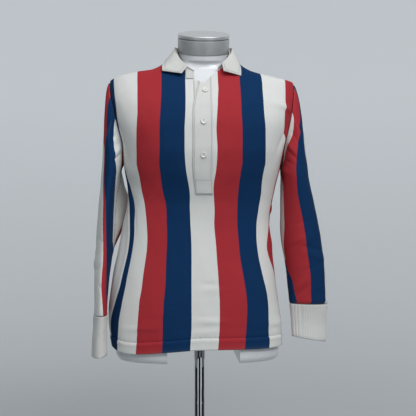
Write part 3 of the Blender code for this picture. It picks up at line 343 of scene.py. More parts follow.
# Collar by angle round the neck from the back (wearer's right negative), millimetres from the neck's
# centre: top of the stand, roll, corner and free edge of the fall, each as sideways, along Y and height.
COLLAR_COLUMNS = (
    "angle", "top_x", "top_y", "top_z", "roll_x", "roll_y", "roll_z",
    "mid_x", "mid_y", "mid_z", "edge_x", "edge_y", "edge_z",
)
COLLAR = (
    (-160, -24, -67, 1029, -25, -71, 1032, -40, -76, 1018, -60, -76, 1020),
    (-148, -35, -65, 1036, -37.5, -69, 1039.5, -51, -77, 1021.5, -93.4, -66, 1030),
    (-134, -48, -44.5, 1052, -51, -49.5, 1056, -66, -60, 1041, -93.5, -54, 1041.5),
    (-112, -58, -23, 1074, -62, -26, 1078, -74, -29, 1067, -90, -29, 1052),
    (-90, -61.5, 2, 1091, -65, 2, 1094.5, -70, 4, 1084, -85.5, 7, 1063),
    (-45, -45, 43, 1097, -49, 47, 1100, -57, 55, 1085, -66, 64, 1057),
    (0, 0, 61, 1098, 0, 65.5, 1101, 0, 74, 1086, 0, 86, 1058),
    (45, 45, 43, 1097, 49, 47, 1100, 57, 55, 1085, 66, 64, 1057),
    (90, 61.5, 2, 1091, 65, 2, 1094.5, 71, 4, 1084, 82, 7, 1063),
    (112, 58, -23, 1076, 62, -26, 1080, 73, -29, 1067, 81, -29, 1053),
    (134, 47, -44.5, 1057, 50, -49.5, 1061, 62, -58, 1046, 81.5, -54, 1037),
    (148, 35, -60, 1044, 37.5, -65, 1047.5, 40, -76, 1028, 80.3, -66, 1020.5),
    (152, 31, -63, 1039, 33.5, -67, 1043, 38, -76, 1026, 76, -68, 1020),
)
STAND_ENDS = (-160, 152)
FALL_END = 148
FALL_CORNER = 0.6
CORNER_ANGLES = (118, 148)
# The stand's end on the wearer's right laps over the front: angles where it starts to stand out, is fully
# out, last keeps to the neckline and first drops below it, and the height of the dropped end's foot.
LAP_ANGLES = (-122, -143, -144, -146.5)
LAP_FOOT = 1010.5 * MM
STAND_LIFT = 1.5 * MM
LABEL_ANGLES = (-133, -108)
LABEL_ROWS = (0.25, 0.85)


def curve(xs, ys, x):
    """Shape-keeping cubic through the points xs, ys, level beyond both ends."""
    xs = np.asarray(xs, float)
    ys = np.asarray(ys, float)
    x = np.clip(np.asarray(x, float), xs[0], xs[-1])
    step = np.diff(xs)
    grade = np.diff(ys) / step
    slope = np.zeros(len(xs))
    for i in range(1, len(xs) - 1):
        if grade[i - 1] * grade[i] > 0:
            before = 2 * step[i] + step[i - 1]
            after = step[i] + 2 * step[i - 1]
            slope[i] = (before + after) / (before / grade[i - 1] + after / grade[i])
    slope[0] = grade[0]
    slope[-1] = grade[-1]
    k = np.clip(np.searchsorted(xs, x) - 1, 0, len(step) - 1)
    t = (x - xs[k]) / step[k]
    return (
        (2 * t**3 - 3 * t**2 + 1) * ys[k]
        + (t**3 - 2 * t**2 + t) * step[k] * slope[k]
        + (3 * t**2 - 2 * t**3) * ys[k + 1]
        + (t**3 - t**2) * step[k] * slope[k + 1]
    )


SECTION_ARRAY = np.array(SECTIONS, float)
SECTION_ARRAY[:, :5] *= MM
SECTION_ARRAY[:, 6:] *= MM


def section(height, column):
    """A named measure of the shirt's level section at a height."""
    return curve(SECTION_ARRAY[:, 0], SECTION_ARRAY[:, SECTION_COLUMNS.index(column)], height)


def length_along(points, axis=0):
    """Arc length at each of a line of points, or along one axis of a grid of them."""
    first = np.take(points, [0], axis=axis)
    return np.cumsum(np.linalg.norm(np.diff(points, axis=axis, prepend=first), axis=-1), axis=axis)


def at_lengths(points, run, lengths):
    """Points at arc lengths along a line whose own arc lengths are run."""
    return np.column_stack([np.interp(lengths, run, points[:, k]) for k in range(3)])


def resample(points, count):
    """Points spread evenly along a line."""
    run = length_along(points)
    return at_lengths(points, run, np.linspace(0, run[-1], count))


QUARTER_STEPS = 180
ARMHOLE_STEPS = 90
LEVEL_STEPS = 60
COLUMN_STEPS = 160
HALVINGS = 30
ANGLES = np.linspace(-math.pi, math.pi, 4 * QUARTER_STEPS + 1)
LEVELS = np.arange(400, 829, 3) * MM


def ring(height, angles=ANGLES, inset=0.0):
    """Plan points of the section at a height, by angle from the front, towards the wearer's left."""
    power = 2 / section(height, "square")
    depth = np.where(np.cos(angles) > 0, section(height, "front"), section(height, "back")) - inset
    across = np.sign(np.sin(angles)) * np.abs(np.sin(angles)) ** power
    along = -np.sign(np.cos(angles)) * np.abs(np.cos(angles)) ** power
    x = section(height, "centre") + (section(height, "half_width") - inset) * across
    return np.column_stack((x, depth * along))


def level_points(panel, height, shares):
    """Plan points of a panel at a height below the underarm, by share across."""
    points = ring(height)
    run = length_along(points)
    front = run[2 * QUARTER_STEPS]
    girth = run[-1]
    side = float(section(height, "side_turn"))
    left = side - (front - run[QUARTER_STEPS])
    right = side + (run[3 * QUARTER_STEPS] - front)
    middle = float(section(height, "turn"))
    if panel == "back":
        left, right = right, left + girth
        middle = girth - front + 0.5 * side
    trimmed = shares * (1 - SEAM_GAP / (right - left))
    arc = middle + trimmed * np.where(shares > 0, right - middle, middle - left)
    where = (arc + front) % girth
    return np.column_stack((np.interp(where, run, points[:, 0]), np.interp(where, run, points[:, 1])))


def surface_y(panel, x, height):
    """Depth of a body panel at a sideways place and height, above the underarm."""
    square = section(height, "square")
    reach = np.abs(x - section(height, "centre")) / section(height, "half_width")
    inner = np.maximum(0.0, 1 - np.minimum(reach, 1.0) ** square) ** (1 / square)
    depth = section(height, panel)
    return -depth * inner if panel == "front" else depth * inner


def ridge_height(x):
    """Height of the shoulder line at a sideways place."""
    low, high = SHOULDER_TIP, SECTIONS[-1][0] * MM
    for _ in range(HALVINGS):
        mid = (low + high) / 2
        if section(mid, "half_width") > abs(x - section(mid, "centre")):
            low = mid
        else:
            high = mid
    return low


def neck_height(panel, x):
    """Height of a panel's neckline at a sideways place."""
    rows = np.array(NECK_LINE[panel]) * MM
    return float(curve(rows[:, 0], rows[:, 1], x - NECK_CENTRE))


def outline_x(height, y, side):
    """Sideways place of the shirt's outline at a height and a depth, on one side."""
    square = section(height, "square")
    depth = np.where(y < 0, section(height, "front"), section(height, "back"))
    reach = (1 - np.minimum(1.0, np.abs(y) / depth) ** square) ** (1 / square)
    return section(height, "centre") + side * section(height, "half_width") * reach


def armhole(side, angle):
    """Points of the armhole loop: angle 0 at the shoulder tip, growing to the front, half a turn underarm."""
    height = UNDERARM + (SHOULDER_TIP - UNDERARM) * (1 + np.cos(angle)) / 2
    y = -ARMHOLE_HALF_OPENING * np.sin(angle)
    return np.stack((outline_x(height, y, side), y, height), axis=-1)


def upper_column(panel, share, across, rows):
    """A panel's grain line from the underarm level up to its neckline or shoulder line."""
    front = panel == "front"
    side = 1 if share > 0 else -1
    hand = side if front else -side
    if abs(share) > SEAM_SHARE:
        turn = np.linspace(math.pi, 0, ARMHOLE_STEPS) * (1 if front else -1)
        points = armhole(hand, turn)
        points[:, 1] += -SEAM_GAP / 2 if front else SEAM_GAP / 2
        return resample(points, rows)
    level = np.linspace(UNDERARM, SHOULDER_TIP, LEVEL_STEPS)
    turn = np.arccos(np.clip(2 * (level - UNDERARM) / (SHOULDER_TIP - UNDERARM) - 1, -1, 1))
    edge = armhole(hand, turn if front else -turn)[:, 0]
    spread = (edge - edge[0]) * abs(share) ** GRAIN_SPREAD
    top_x = across + spread[-1]
    on_neck = abs(top_x - NECK_CENTRE) < NECK_HALF_WIDTH - 0.1 * MM
    top = neck_height(panel, top_x) if on_neck else ridge_height(top_x)
    heights = UNDERARM + (top - UNDERARM) * (1 - (1 - np.linspace(0, 1, COLUMN_STEPS)) ** 2)
    xs = across + np.interp(heights, level, spread)
    ys = surface_y(panel, xs, heights)
    if abs(share) > SIDE_SHARE:
        opening = ARMHOLE_HALF_OPENING * np.sin(np.interp(heights, level, turn))
        bound = opening + (1 - abs(share)) * SIDE_MARGIN
        close = (np.abs(ys) < bound) & (heights < SHOULDER_TIP)
        held = -bound if front else bound
        xs = np.where(close, outline_x(heights, held, hand), xs)
        ys = np.where(close, held, ys)
    if not on_neck:
        ys[-1] = -SEAM_GAP / 2 if front else SEAM_GAP / 2
    return resample(np.column_stack((xs, ys, heights)), rows)


def normals(grid):
    """Unit normals of a grid of points, rows upward and columns to the right seen from outside."""
    out = np.cross(np.gradient(grid, axis=1), np.gradient(grid, axis=0))
    return out / np.maximum(np.linalg.norm(out, axis=2, keepdims=True), 1e-12)


def tube_normals(grid):
    """Unit normals of a tube's grid, whose first and last columns meet."""
    out = normals(np.concatenate((grid[:, -3:-1], grid, grid[:, 1:3]), axis=1))[:, 2:-2]
    out[:, -1] = out[:, 0]
    return out


def raised(grid, out, rise):
    """Grid moved outwards by a rise in millimetres."""
    return grid + out * (rise * MM)[:, :, None]


def ridges(distance, *rows):
    """Rise (mm) of ridges beside an edge: rise, distance from the edge and half width of each."""
    return sum(rise * np.exp(-(((distance - at) / width) ** 2)) for rise, at, width in rows)


def fold_rise(folds, first, second):
    """Rise of the soft folds at places; first and second are distances in millimetres on the cloth."""
    rise = 0.0
    for across, height, length, width, peak, slope in folds:
        c, s = math.cos(math.radians(slope)), math.sin(math.radians(slope))
        along = (first - across) * c + (second - height) * s
        aside = -(first - across) * s + (second - height) * c
        rise = rise + peak * np.exp(-((along / length) ** 2) - (aside / width) ** 2)
    return rise


def slack(u, v, seed):
    """Shallow uneven rise of resting cloth (mm) at places u, v (mm)."""
    rise = 0.0
    for k in range(SLACK_WAVES):
        angle = SLACK_TURN * k + seed
        wave = 2 * math.pi / (SLACK_LENGTHS[0] + SLACK_LENGTHS[1] * k)
        phase = wave * (u * math.cos(angle) + v * math.sin(angle)) + SLACK_SHIFT * k + SLACK_SEED_SHIFT * seed
        rise = rise + (SLACK_RISES[0] + SLACK_RISES[1] * k) * np.sin(phase)
    return rise


LOWER_HEM_ROWS = 18
LOWER_ROWS = 78
BUST_ROWS = 14
UPPER_ROWS = 62
PLACKET_ROW = LOWER_HEM_ROWS + LOWER_ROWS
SEAM_COLUMNS = np.array((0.5, 1.2, 2.2, 3.4, 5.0, 7.0)) / PANEL_HALF


def slot_shares():
    """Shares across at which the placket's slot is cut."""
    points = ring(UNDERARM)
    run = length_along(points)
    front = run[2 * QUARTER_STEPS]
    turn = float(section(UNDERARM, "turn"))
    left = turn + front - run[QUARTER_STEPS]
    right = run[3 * QUARTER_STEPS] - front - turn
    return SLOT[0] / left, SLOT[1] / right


# Arc distance on the front, at the placket, that one whole share across stands for.
SHARE_ARC = SLOT[1] / slot_shares()[1]


def body_grid(panel):
    """Outer points of the plain front or back and the columns' shares."""
    extra = [0.0, *slot_shares()] if panel == "front" else [0.0]
    shares = np.concatenate((np.linspace(-1, 1, PANEL_COLUMNS), extra, 1 - SEAM_COLUMNS, SEAM_COLUMNS - 1))
    shares = np.unique(np.round(shares, 7))
    places = np.array([level_points(panel, level, shares) for level in LEVELS])
    hem = np.array(HEM_LINE[panel])
    columns = []
    for j, share in enumerate(shares):
        foot = float(curve(hem[:, 0], hem[:, 1] * MM, share))
        heights = np.concatenate((
            np.linspace(foot, foot + HEM_TURN * MM, LOWER_HEM_ROWS, endpoint=False),
            np.linspace(foot + HEM_TURN * MM, PLACKET_FOOT, LOWER_ROWS, endpoint=False),
            np.linspace(PLACKET_FOOT, UNDERARM, BUST_ROWS, endpoint=False),
        ))
        x = np.interp(heights, LEVELS, places[:, j, 0])
        y = np.interp(heights, LEVELS, places[:, j, 1])
        across = np.interp(UNDERARM, LEVELS, places[:, j, 0])
        upper = upper_column(panel, share, across, UPPER_ROWS + 1)
        columns.append(np.vstack((np.column_stack((x, y, heights)), upper)))
    return np.stack(columns, axis=1), shares


def body_rise(panel, shares, height, from_hem, from_side):
    """Rise (mm) of the folds, the turned hem and the side seams above the plain panel."""
    place = np.broadcast_to(shares[None, :] * PANEL_HALF, height.shape)
    from_top = (len(height) - 1 - np.arange(len(height)))[:, None] * TOP_ROW
    fade = np.minimum(1.0, from_side / PANEL_HALF / EDGE_FADE) * np.minimum(1.0, from_top / TOP_FADE)
    folds = [(share * PANEL_HALF, *fold) for share, *fold in BODY_FOLDS[panel] + BODY_CREASES[panel]]
    rise = fold_rise(folds, place, height) + slack(place, height, BODY_SEEDS[panel])
    wave = np.sin(place * PUCKER_WAVE + PUCKER_SWAY * np.sin(place * PUCKER_DRIFT))
    rise = rise + ridges(from_hem, HEM_PUCKER) * wave
    ledge = HEM_LEDGE / (1 + np.exp(np.clip((from_hem - HEM_DEPTH + 1) / LEDGE_SOFTNESS, -60, 60)))
    return rise * fade + ledge + ridges(from_hem, *HEM_RIDGES) + ridges(from_side, *SIDE_RIDGES)


def stripe_edges(table, height):
    """Places of the stripe edges at heights, from a table of heights and edges."""
    rows = np.array(table, float)
    return np.stack([curve(rows[:, 0], column, height) for column in rows.T[1:]], axis=-1)


def stripes_across(edges, where):
    """Stripes from the first edge to each place, with the part of the last one."""
    k = np.clip((where[..., None] >= edges).sum(axis=-1) - 1, 0, edges.shape[-1] - 2)[..., None]
    low, high = (np.take_along_axis(edges, at, axis=-1)[..., 0] for at in (k, k + 1))
    return k[..., 0] + (where - low) / (high - low)


def stripe_place(panel, shares, height):
    """Cloth's distance across in millimetres, counted in stripes from the centre, at shares and heights."""
    if panel == "back":
        return -shares[None, :] * BACK_HALF_STRIPES * STRIPE + 0 * height
    edges = stripe_edges(FRONT_STRIPES, height)
    first = 2 * edges[..., :1] - edges[..., 1:2]
    last = edges[..., -1:] + np.maximum(SIDE_STRIPE, edges[..., -1:] - edges[..., -2:-1])
    edges = np.concatenate((first, edges, last), axis=-1)
    where = np.broadcast_to(shares[None, :], height.shape)
    return (FIRST_EDGE - 1 + stripes_across(edges, where)) * STRIPE


def new_object(name, bm, finish=None):
    """Object of a bmesh, at the origin."""
    mesh = bpy.data.meshes.new(name)
    bm.to_mesh(mesh)
    bm.free()
    obj = bpy.data.objects.new(name, mesh)
    bpy.context.scene.collection.objects.link(obj)
    if finish:
        mesh.materials.append(finish)
    return obj


def finished(name, bm, finish):
    """Smooth piece that rides on the one body."""
    obj = new_object(name, bm, finish)
    obj.data.shade_smooth()
    obj.data.set_sharp_from_angle(angle=math.radians(50))
    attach(obj, "root")
    return obj


def stands_for(obj, node):
    """Hides the model's node that a piece stands for, and returns the piece."""
    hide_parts(node)
    return obj


def sheet_mesh(name, grid, cloth_x, cloth_y, wear_and_shade, finish, thickness, closed=False, skip=None):
    """Piece of cloth through a grid of outer points, with the cloth's own millimetres as its UV map."""
    rows, cols = grid.shape[:2]
    bm = bmesh.new()
    bmesh.ops.create_grid(bm, x_segments=cols - 1, y_segments=rows - 1, size=1)
    bm.verts.ensure_lookup_table()
    across, up, worn_and_shaded = cloth_x.ravel(), cloth_y.ravel(), wear_and_shade.ravel()
    uv = bm.loops.layers.uv.new("cloth")
    # The tone attribute carries rubbed wear, and on the cuffs painted shade in the troughs between the ribs.
    tint = bm.verts.layers.float.new("wear_and_shade")
    for vert, point, value in zip(bm.verts, grid.reshape(-1, 3), worn_and_shaded):
        vert.co = point
        vert[tint] = value
    for face in bm.faces:
        for loop in face.loops:
            k = loop.vert.index
            loop[uv].uv = (across[k], up[k])
    if skip:
        gone = [f for f in bm.faces if skip(*divmod(min(v.index for v in f.verts), cols))]
        bmesh.ops.delete(bm, geom=gone, context="FACES")
    if closed:
        bmesh.ops.remove_doubles(bm, verts=bm.verts, dist=WELD)
    bm.normal_update()
    obj = finished(name, bm, finish)
    wall = obj.modifiers.new("wall", "SOLIDIFY")
    wall.thickness = thickness
    wall.offset = -1.0
    wall.use_rim = True
    return obj


def turned(profile, steps):
    """Surface spun about Z from a profile of (radius, height)."""
    bm = bmesh.new()
    verts = [bm.verts.new((r, 0, z)) for r, z in profile]
    edges = [bm.edges.new(pair) for pair in zip(verts, verts[1:])]
    bmesh.ops.spin(
        bm, geom=verts + edges, axis=(0, 0, 1), cent=(0, 0, 0), steps=steps, angle=2 * math.pi, use_merge=True
    )
    bmesh.ops.remove_doubles(bm, verts=bm.verts, dist=WELD)
    bmesh.ops.recalc_face_normals(bm, faces=bm.faces)
    return bm


def cut_away(obj, cutter):
    """Takes the solids of a bmesh out of a piece."""
    tool = new_object("cutter", cutter)
    cut = obj.modifiers.new("cut", "BOOLEAN")
    cut.object = tool
    cut.solver = "EXACT"
    shape = bpy.data.meshes.new_from_object(obj.evaluated_get(bpy.context.evaluated_depsgraph_get()))
    obj.modifiers.remove(cut)
    obj.data = shape
    bpy.data.objects.remove(tool)


def upright(at, way):
    """Matrix that sets a piece at a place with its own Z along a way."""
    return Matrix.Translation(at) @ way.to_track_quat("Z", "Y").to_matrix().to_4x4()


def linear(code):
    """Linear colour of an sRGB hex code."""
    values = [int(code[i:i + 2], 16) / 255 for i in (0, 2, 4)]
    return [v / 12.92 if v <= 0.04045 else ((v + 0.055) / 1.055) ** 2.4 for v in values] + [1.0]


def material(name, **constants):
    """New material, its node tree and its shader, with the values that are the same all over."""
    made = bpy.data.materials.new(name)
    made.use_nodes = True
    shader = made.node_tree.nodes["Principled BSDF"]
    for key, value in constants.items():
        shader.inputs[key.replace("_", " ")].default_value = value
    return made, made.node_tree, shader


def link(tree, value, socket):
    """Joins an output, or a node's first output, to a socket."""
    tree.links.new(value.outputs[0] if isinstance(value, bpy.types.Node) else value, socket)


def dress(tree, shader, **looks):
    """Links each look to the shader's input of that name."""
    for key, value in looks.items():
        link(tree, value, shader.inputs[key.replace("_", " ")])


def add(tree, kind, links=None, **settings):
    """A node with its settings, its inputs given as values, or as nodes or sockets to link."""
    made = tree.nodes.new("ShaderNode" + kind)
    for key, value in settings.items():
        setattr(made, key, value)
    for key, value in (links or {}).items():
        if isinstance(value, (bpy.types.Node, bpy.types.NodeSocket)):
            link(tree, value, made.inputs[key])
        else:
            made.inputs[key].default_value = value
    return made


WHITE_COTTON = "DADBD8"
RED_COTTON = "A83239"
NAVY_COTTON = "11335A"
RUBBED_COTTON = "C9C9C8"
# Knit as drawn, millimetres: width of a wale and height of a course. The real ones are half of that.
WALE = 1.6
COURSE = 0.7
# Twill line's angle, and its wave's scale for lines of 1.1 mm; the real ones are 0.5 mm apart.
TWILL_ANGLE = math.radians(63)
TWILL_SCALE = 0.28


def jersey_material():
    """Striped cotton jersey."""
    made, tree, shader = material(
        "cotton_jersey", Sheen_Weight=0.01, Sheen_Roughness=0.5, Specular_IOR_Level=0.06
    )
    cloth = add(tree, "UVMap", uv_map="cloth")
    place = add(tree, "SeparateXYZ", {"Vector": cloth})
    # A stripe's edge wanders a little from wale to wale.
    grow = add(tree, "TexNoise", {"Vector": cloth, "Scale": 0.9, "Detail": 1.0})
    jitter = add(tree, "Math", {0: grow, 1: 0.9, 2: -0.45}, operation="MULTIPLY_ADD")
    edge = add(tree, "Math", {0: place.outputs["X"], 1: jitter}, operation="ADD")
    count = add(tree, "Math", {0: edge, 1: 1 / STRIPE, 2: 0.5}, operation="MULTIPLY_ADD")
    whole = add(tree, "Math", {0: count}, operation="FLOOR")
    kind = add(tree, "Math", {0: whole, 1: 3.0}, operation="FLOORED_MODULO")
    share = add(tree, "Math", {0: kind, 1: 1 / 3, 2: 1 / 6}, operation="MULTIPLY_ADD")
    ramp = add(tree, "ValToRGB", {"Fac": share})
    ramp.color_ramp.interpolation = "CONSTANT"
    stops = ramp.color_ramp.elements
    stops[0].color = linear(WHITE_COTTON)
    stops[1].position = 2 / 3
    stops[1].color = linear(NAVY_COTTON)
    stops.new(1 / 3).color = linear(RED_COTTON)
    # Yarn by yarn the dye takes a little unevenly, so the colour is streaked along the wales.
    along = add(tree, "Mapping", {"Vector": cloth, "Scale": (1.3, 0.07, 1.0)})
    streak = add(tree, "TexNoise", {"Vector": along, "Scale": 1.0, "Detail": 2.0})
    cloud = add(tree, "TexNoise", {"Vector": cloth, "Scale": 0.018, "Detail": 3.0})
    tone = add(tree, "Math", {0: streak, 1: 0.10, 2: 0.91}, operation="MULTIPLY_ADD")
    tone = add(tree, "Math", {0: cloud, 1: 0.08, 2: tone}, operation="MULTIPLY_ADD")
    dyed = add(tree, "VectorMath", {0: ramp, 3: tone}, operation="SCALE")
    # Edges and crests rub pale first.
    worn_and_shaded = add(tree, "Attribute", attribute_name="wear_and_shade")
    rub = add(tree, "Math", {0: worn_and_shaded.outputs["Fac"], 1: grow}, operation="MULTIPLY")
    rub = add(tree, "Math", {0: rub, 1: 0.22}, operation="MULTIPLY", use_clamp=True)
    faded = add(tree, "MixRGB", {"Fac": rub, "Color1": dyed, "Color2": linear(RUBBED_COTTON)})
    rough = add(tree, "Math", {0: streak, 1: 0.12, 2: 0.80}, operation="MULTIPLY_ADD")
    # Knit stitches lean into a V on each wale.
    bend = add(tree, "Math", {0: place.outputs["X"], 1: WALE}, operation="PINGPONG")
    course = add(tree, "Math", {0: bend, 1: place.outputs["Y"]}, operation="ADD")
    loop = add(tree, "Math", {0: course, 1: COURSE}, operation="PINGPONG")
    fuzz = add(tree, "TexNoise", {"Vector": cloth, "Scale": 1.7, "Detail": 3.0})
    nap = add(tree, "Math", {0: fuzz, 1: 0.6, 2: loop}, operation="MULTIPLY_ADD")
    bump = add(tree, "Bump", {"Strength": 0.25, "Distance": 0.25 * MM, "Height": nap})
    dress(tree, shader, Base_Color=faded, Roughness=rough, Normal=bump)
    return made


def twill_material(name, tone_code):
    """Bleached cotton twill."""
    made, tree, shader = material(name, Sheen_Weight=0.02, Sheen_Roughness=0.4, Specular_IOR_Level=0.2)
    cloth = add(tree, "UVMap", uv_map="cloth")
    slanted = add(tree, "Mapping", {"Vector": cloth, "Rotation": (0, 0, TWILL_ANGLE)})
    wave = add(tree, "TexWave", {"Vector": slanted, "Scale": TWILL_SCALE, "Distortion": 0.6, "Detail": 2.0})
    line = wave.outputs["Fac"]
    cloud = add(tree, "TexNoise", {"Vector": cloth, "Scale": 0.05, "Detail": 4.0})
    worn_and_shaded = add(tree, "Attribute", attribute_name="wear_and_shade").outputs["Fac"]
    tone = add(tree, "Math", {0: line, 1: 0.05, 2: 0.91}, operation="MULTIPLY_ADD")
    tone = add(tree, "Math", {0: cloud, 1: 0.10, 2: tone}, operation="MULTIPLY_ADD")
    # Rubbed edges darken the twill; on the cuff's rib the same tone is painted shade in the troughs between
    # the ribs.
    tone = add(tree, "Math", {0: worn_and_shaded, 1: -0.10, 2: tone}, operation="MULTIPLY_ADD")
    colour = add(tree, "VectorMath", {0: linear(tone_code)[:3], 3: tone}, operation="SCALE")
    rough = add(tree, "Math", {0: cloud, 1: 0.15, 2: 0.72}, operation="MULTIPLY_ADD")
    bump = add(tree, "Bump", {"Strength": 0.3, "Distance": 0.15 * MM, "Height": line})
    soft = add(tree, "Bump", {"Strength": 0.3, "Distance": 1.5 * MM, "Height": cloud, "Normal": bump})
    dress(tree, shader, Base_Color=colour, Roughness=rough, Normal=soft)
    return made


def plain_material(name, code, roughness, metallic=0.0, grain=60.0, depth=0.06, uneven=0.12, **constants):
    """Smooth hard surface, its tone and gloss a little uneven from handling."""
    made, tree, shader = material(name, Metallic=metallic, **constants)
    place = add(tree, "TexCoord").outputs["Object"]
    cloud = add(tree, "TexNoise", {"Vector": place, "Scale": grain, "Detail": 5.0})
    tone = add(tree, "Math", {0: cloud, 1: depth, 2: 1 - depth / 2}, operation="MULTIPLY_ADD")
    colour = add(tree, "VectorMath", {0: linear(code)[:3], 3: tone}, operation="SCALE")
    rough = add(tree, "Math", {0: cloud, 1: uneven, 2: roughness - uneven / 2}, operation="MULTIPLY_ADD")
    dress(tree, shader, Base_Color=colour, Roughness=rough)
    return made


# Cotton is dull and soft at every angle; the collar's twill is a darker copy of the white twill, painted
# shade for the collar sitting in less light.
JERSEY_CLOTH = jersey_material()
TWILL_CLOTH = twill_material("cotton_twill", "D6D7D4")
COLLAR_TWILL_SHADED = twill_material("collar_twill_painted_shade", "CFD0CC")
RIB_CLOTH_PAINTED_SHADE = twill_material("cotton_rib_painted_shade", "D6D5D3")
LABEL_SATIN = plain_material("woven_label", "0B0B0D", 0.5, grain=900.0, depth=0.5)
RESIN = plain_material("button_resin", "E6E6E0", 0.3, grain=300.0, Coat_Weight=0.3)
THREAD = plain_material("cotton_thread", "DFE0DC", 0.8, grain=2500.0, depth=0.3)
# Seam thread is painted a darker grey than the cloth, for the shade of the groove it lies in, so it reads as
# a fine grey line.
SEAM_THREAD_SHADED = plain_material("seam_thread_painted_shade", "A3A29B", 0.85, grain=2500.0, depth=0.3)
# Moulded plastic is white with a glossy skin, and the cap's paint has fine metal in it.
MOULDED = plain_material("moulded_plastic", "D6D9DD", 0.3, grain=14.0, Coat_Weight=0.35, Coat_Roughness=0.08)
CAP_PAINT = plain_material("silver_paint", "B4B7B8", 0.38, metallic=0.3, grain=220.0)
LID_METAL = plain_material("satin_aluminium", "DADCDD", 0.42, metallic=0.6, grain=160.0)
# The pole is polished chrome that mirrors the room; the base's is brushed and clouds it.
CHROME = plain_material("chromed_steel", "D4D6D9", 0.04, metallic=1.0, grain=30.0, uneven=0.03)
BASE_CHROME = plain_material("brushed_steel", "BEC0C4", 0.2, metallic=1.0, grain=25.0)


def wear_of(rise, *distances):
    """How rubbed the cloth is: along its edges (distances in mm) and on the crests of folds."""
    worn_and_shaded = np.clip((rise - WEAR_START) / WEAR_RISE, 0, 1)
    for distance in distances:
        worn_and_shaded = worn_and_shaded + WEAR_EDGE * np.exp(-distance / WEAR_REACH)
    return np.clip(worn_and_shaded, 0, 1)


def make_panels():
    """Front, open behind the placket, and back."""
    made = {}
    for panel in ("front", "back"):
        grid, shares = body_grid(panel)
        height = grid[:, :, 2] / MM
        from_hem = height - height[:1]
        from_side = np.broadcast_to((1 - np.abs(shares))[None, :] * PANEL_HALF, height.shape)
        rise = body_rise(panel, shares, height, from_hem, from_side)
        grid = raised(grid, normals(grid), rise)
        across = stripe_place(panel, shares, grid[:, :, 2] / MM)
        worn_and_shaded = wear_of(rise, from_hem, from_side * 2)
        skip = None
        if panel == "front":
            left, right = (int(np.argmin(np.abs(shares - s))) for s in slot_shares())
            skip = lambda i, j: i >= PLACKET_ROW and left <= j < right
        obj = sheet_mesh(panel + "_cloth", grid, across, from_hem, worn_and_shaded, JERSEY_CLOTH, JERSEY, skip=skip)
        made[panel] = (stands_for(obj, panel), grid, shares)
    return made


def sleeve_ring(row, side, count):
    """Level sleeve section: from the outer point round by the front."""
    height, out, along, half_width, half_depth, yaw, fall = row
    angle = np.linspace(0, 2 * math.pi, count + 1)
    a = half_width * np.cos(angle)
    b = -half_depth * np.sin(angle)
    turn = math.radians(yaw)
    x = side * a * math.cos(turn) - b * math.sin(turn)
    y = side * a * math.sin(turn) + b * math.cos(turn)
    return np.column_stack((side * out + x, along + y, height - fall * np.cos(angle))) * MM


def table_rings(table, side, number, count):
    """Sleeve sections spread evenly down a table's heights."""
    rows = np.array(sorted(table), float)
    rings = []
    for height in np.linspace(rows[-1, 0], rows[0, 0], number):
        row = [float(curve(rows[:, 0], column, height)) for column in rows.T]
        rings.append(sleeve_ring(row, side, count))
    return rings


def sleeve_grid(name, side):
    """Plain sleeve from the cuff up to the armhole, and the angle of each column from the outside."""
    angles = np.linspace(0, 2 * math.pi, SLEEVE_POINTS + 1)
    start = armhole(side, angles)
    start[:, 0] += side * SLEEVE_GAP
    first = sleeve_ring(SLEEVES[name][0], side, SLEEVE_POINTS)
    reach = np.linalg.norm(first - start, axis=1, keepdims=True)
    leave = start + reach * CAP_LEAVE * np.array((side, 0, -CAP_SLOPE))
    arrive = first + reach * CAP_ARRIVE * np.array((-CAP_LEAN * side, 0, 1))
    rings = []
    for t in np.linspace(0, 1, CAP_ROWS, endpoint=False) ** CAP_CROWDING:
        rings.append(
            (1 - t) ** 3 * start
            + 3 * t * (1 - t) ** 2 * leave
            + 3 * t**2 * (1 - t) * arrive
            + t**3 * first
        )
    rings += table_rings(SLEEVES[name], side, SLEEVE_ROWS, SLEEVE_POINTS)
    last = rings[-1]
    seam = sleeve_ring(CUFFS[name][0], side, SLEEVE_POINTS)
    seam[:, 2] += CUFF_GAP
    rings += [last * (1 - t) + seam * t for t in (0.25, 0.5, 0.75, 1.0)]
    grid = np.array(rings[::-1])
    turns = np.degrees(angles)
    if side > 0:
        return grid[:, ::-1], turns[::-1]
    return grid, turns


def sleeve_stripes(name, side, grid):
    """Cloth's distance across in millimetres, counted in stripes, on a plain sleeve."""
    height = grid[:, :, 2] / MM
    arc = length_along(grid, 1) / MM
    girth = arc[:, -1:]
    from_outside = arc if side < 0 else girth - arc
    signed = np.where(from_outside > girth / 2, from_outside - girth, from_outside)
    edges = stripe_edges(SLEEVE_STRIPES[name], height)
    count = np.clip(stripes_across(edges, signed), -STRIPE_END, edges.shape[-1] - 1 + STRIPE_END)
    if side < 0:
        return (count - 3.5) * STRIPE
    # Edges run navy, white, red, navy round by the front on this side.
    beyond = signed - edges[..., 6]
    low_seam = (beyond > 0) & (height < LOW_SEAM_HEIGHT)
    count = np.where(low_seam, 5 - np.clip(beyond / LOW_SEAM_STRIPE, 0, STRIPE_END), count)
    return (6.5 - count) * STRIPE


def off_angle(turns, angle):
    """Degrees from an angle, the short way round."""
    return (turns - angle + 180) % 360 - 180


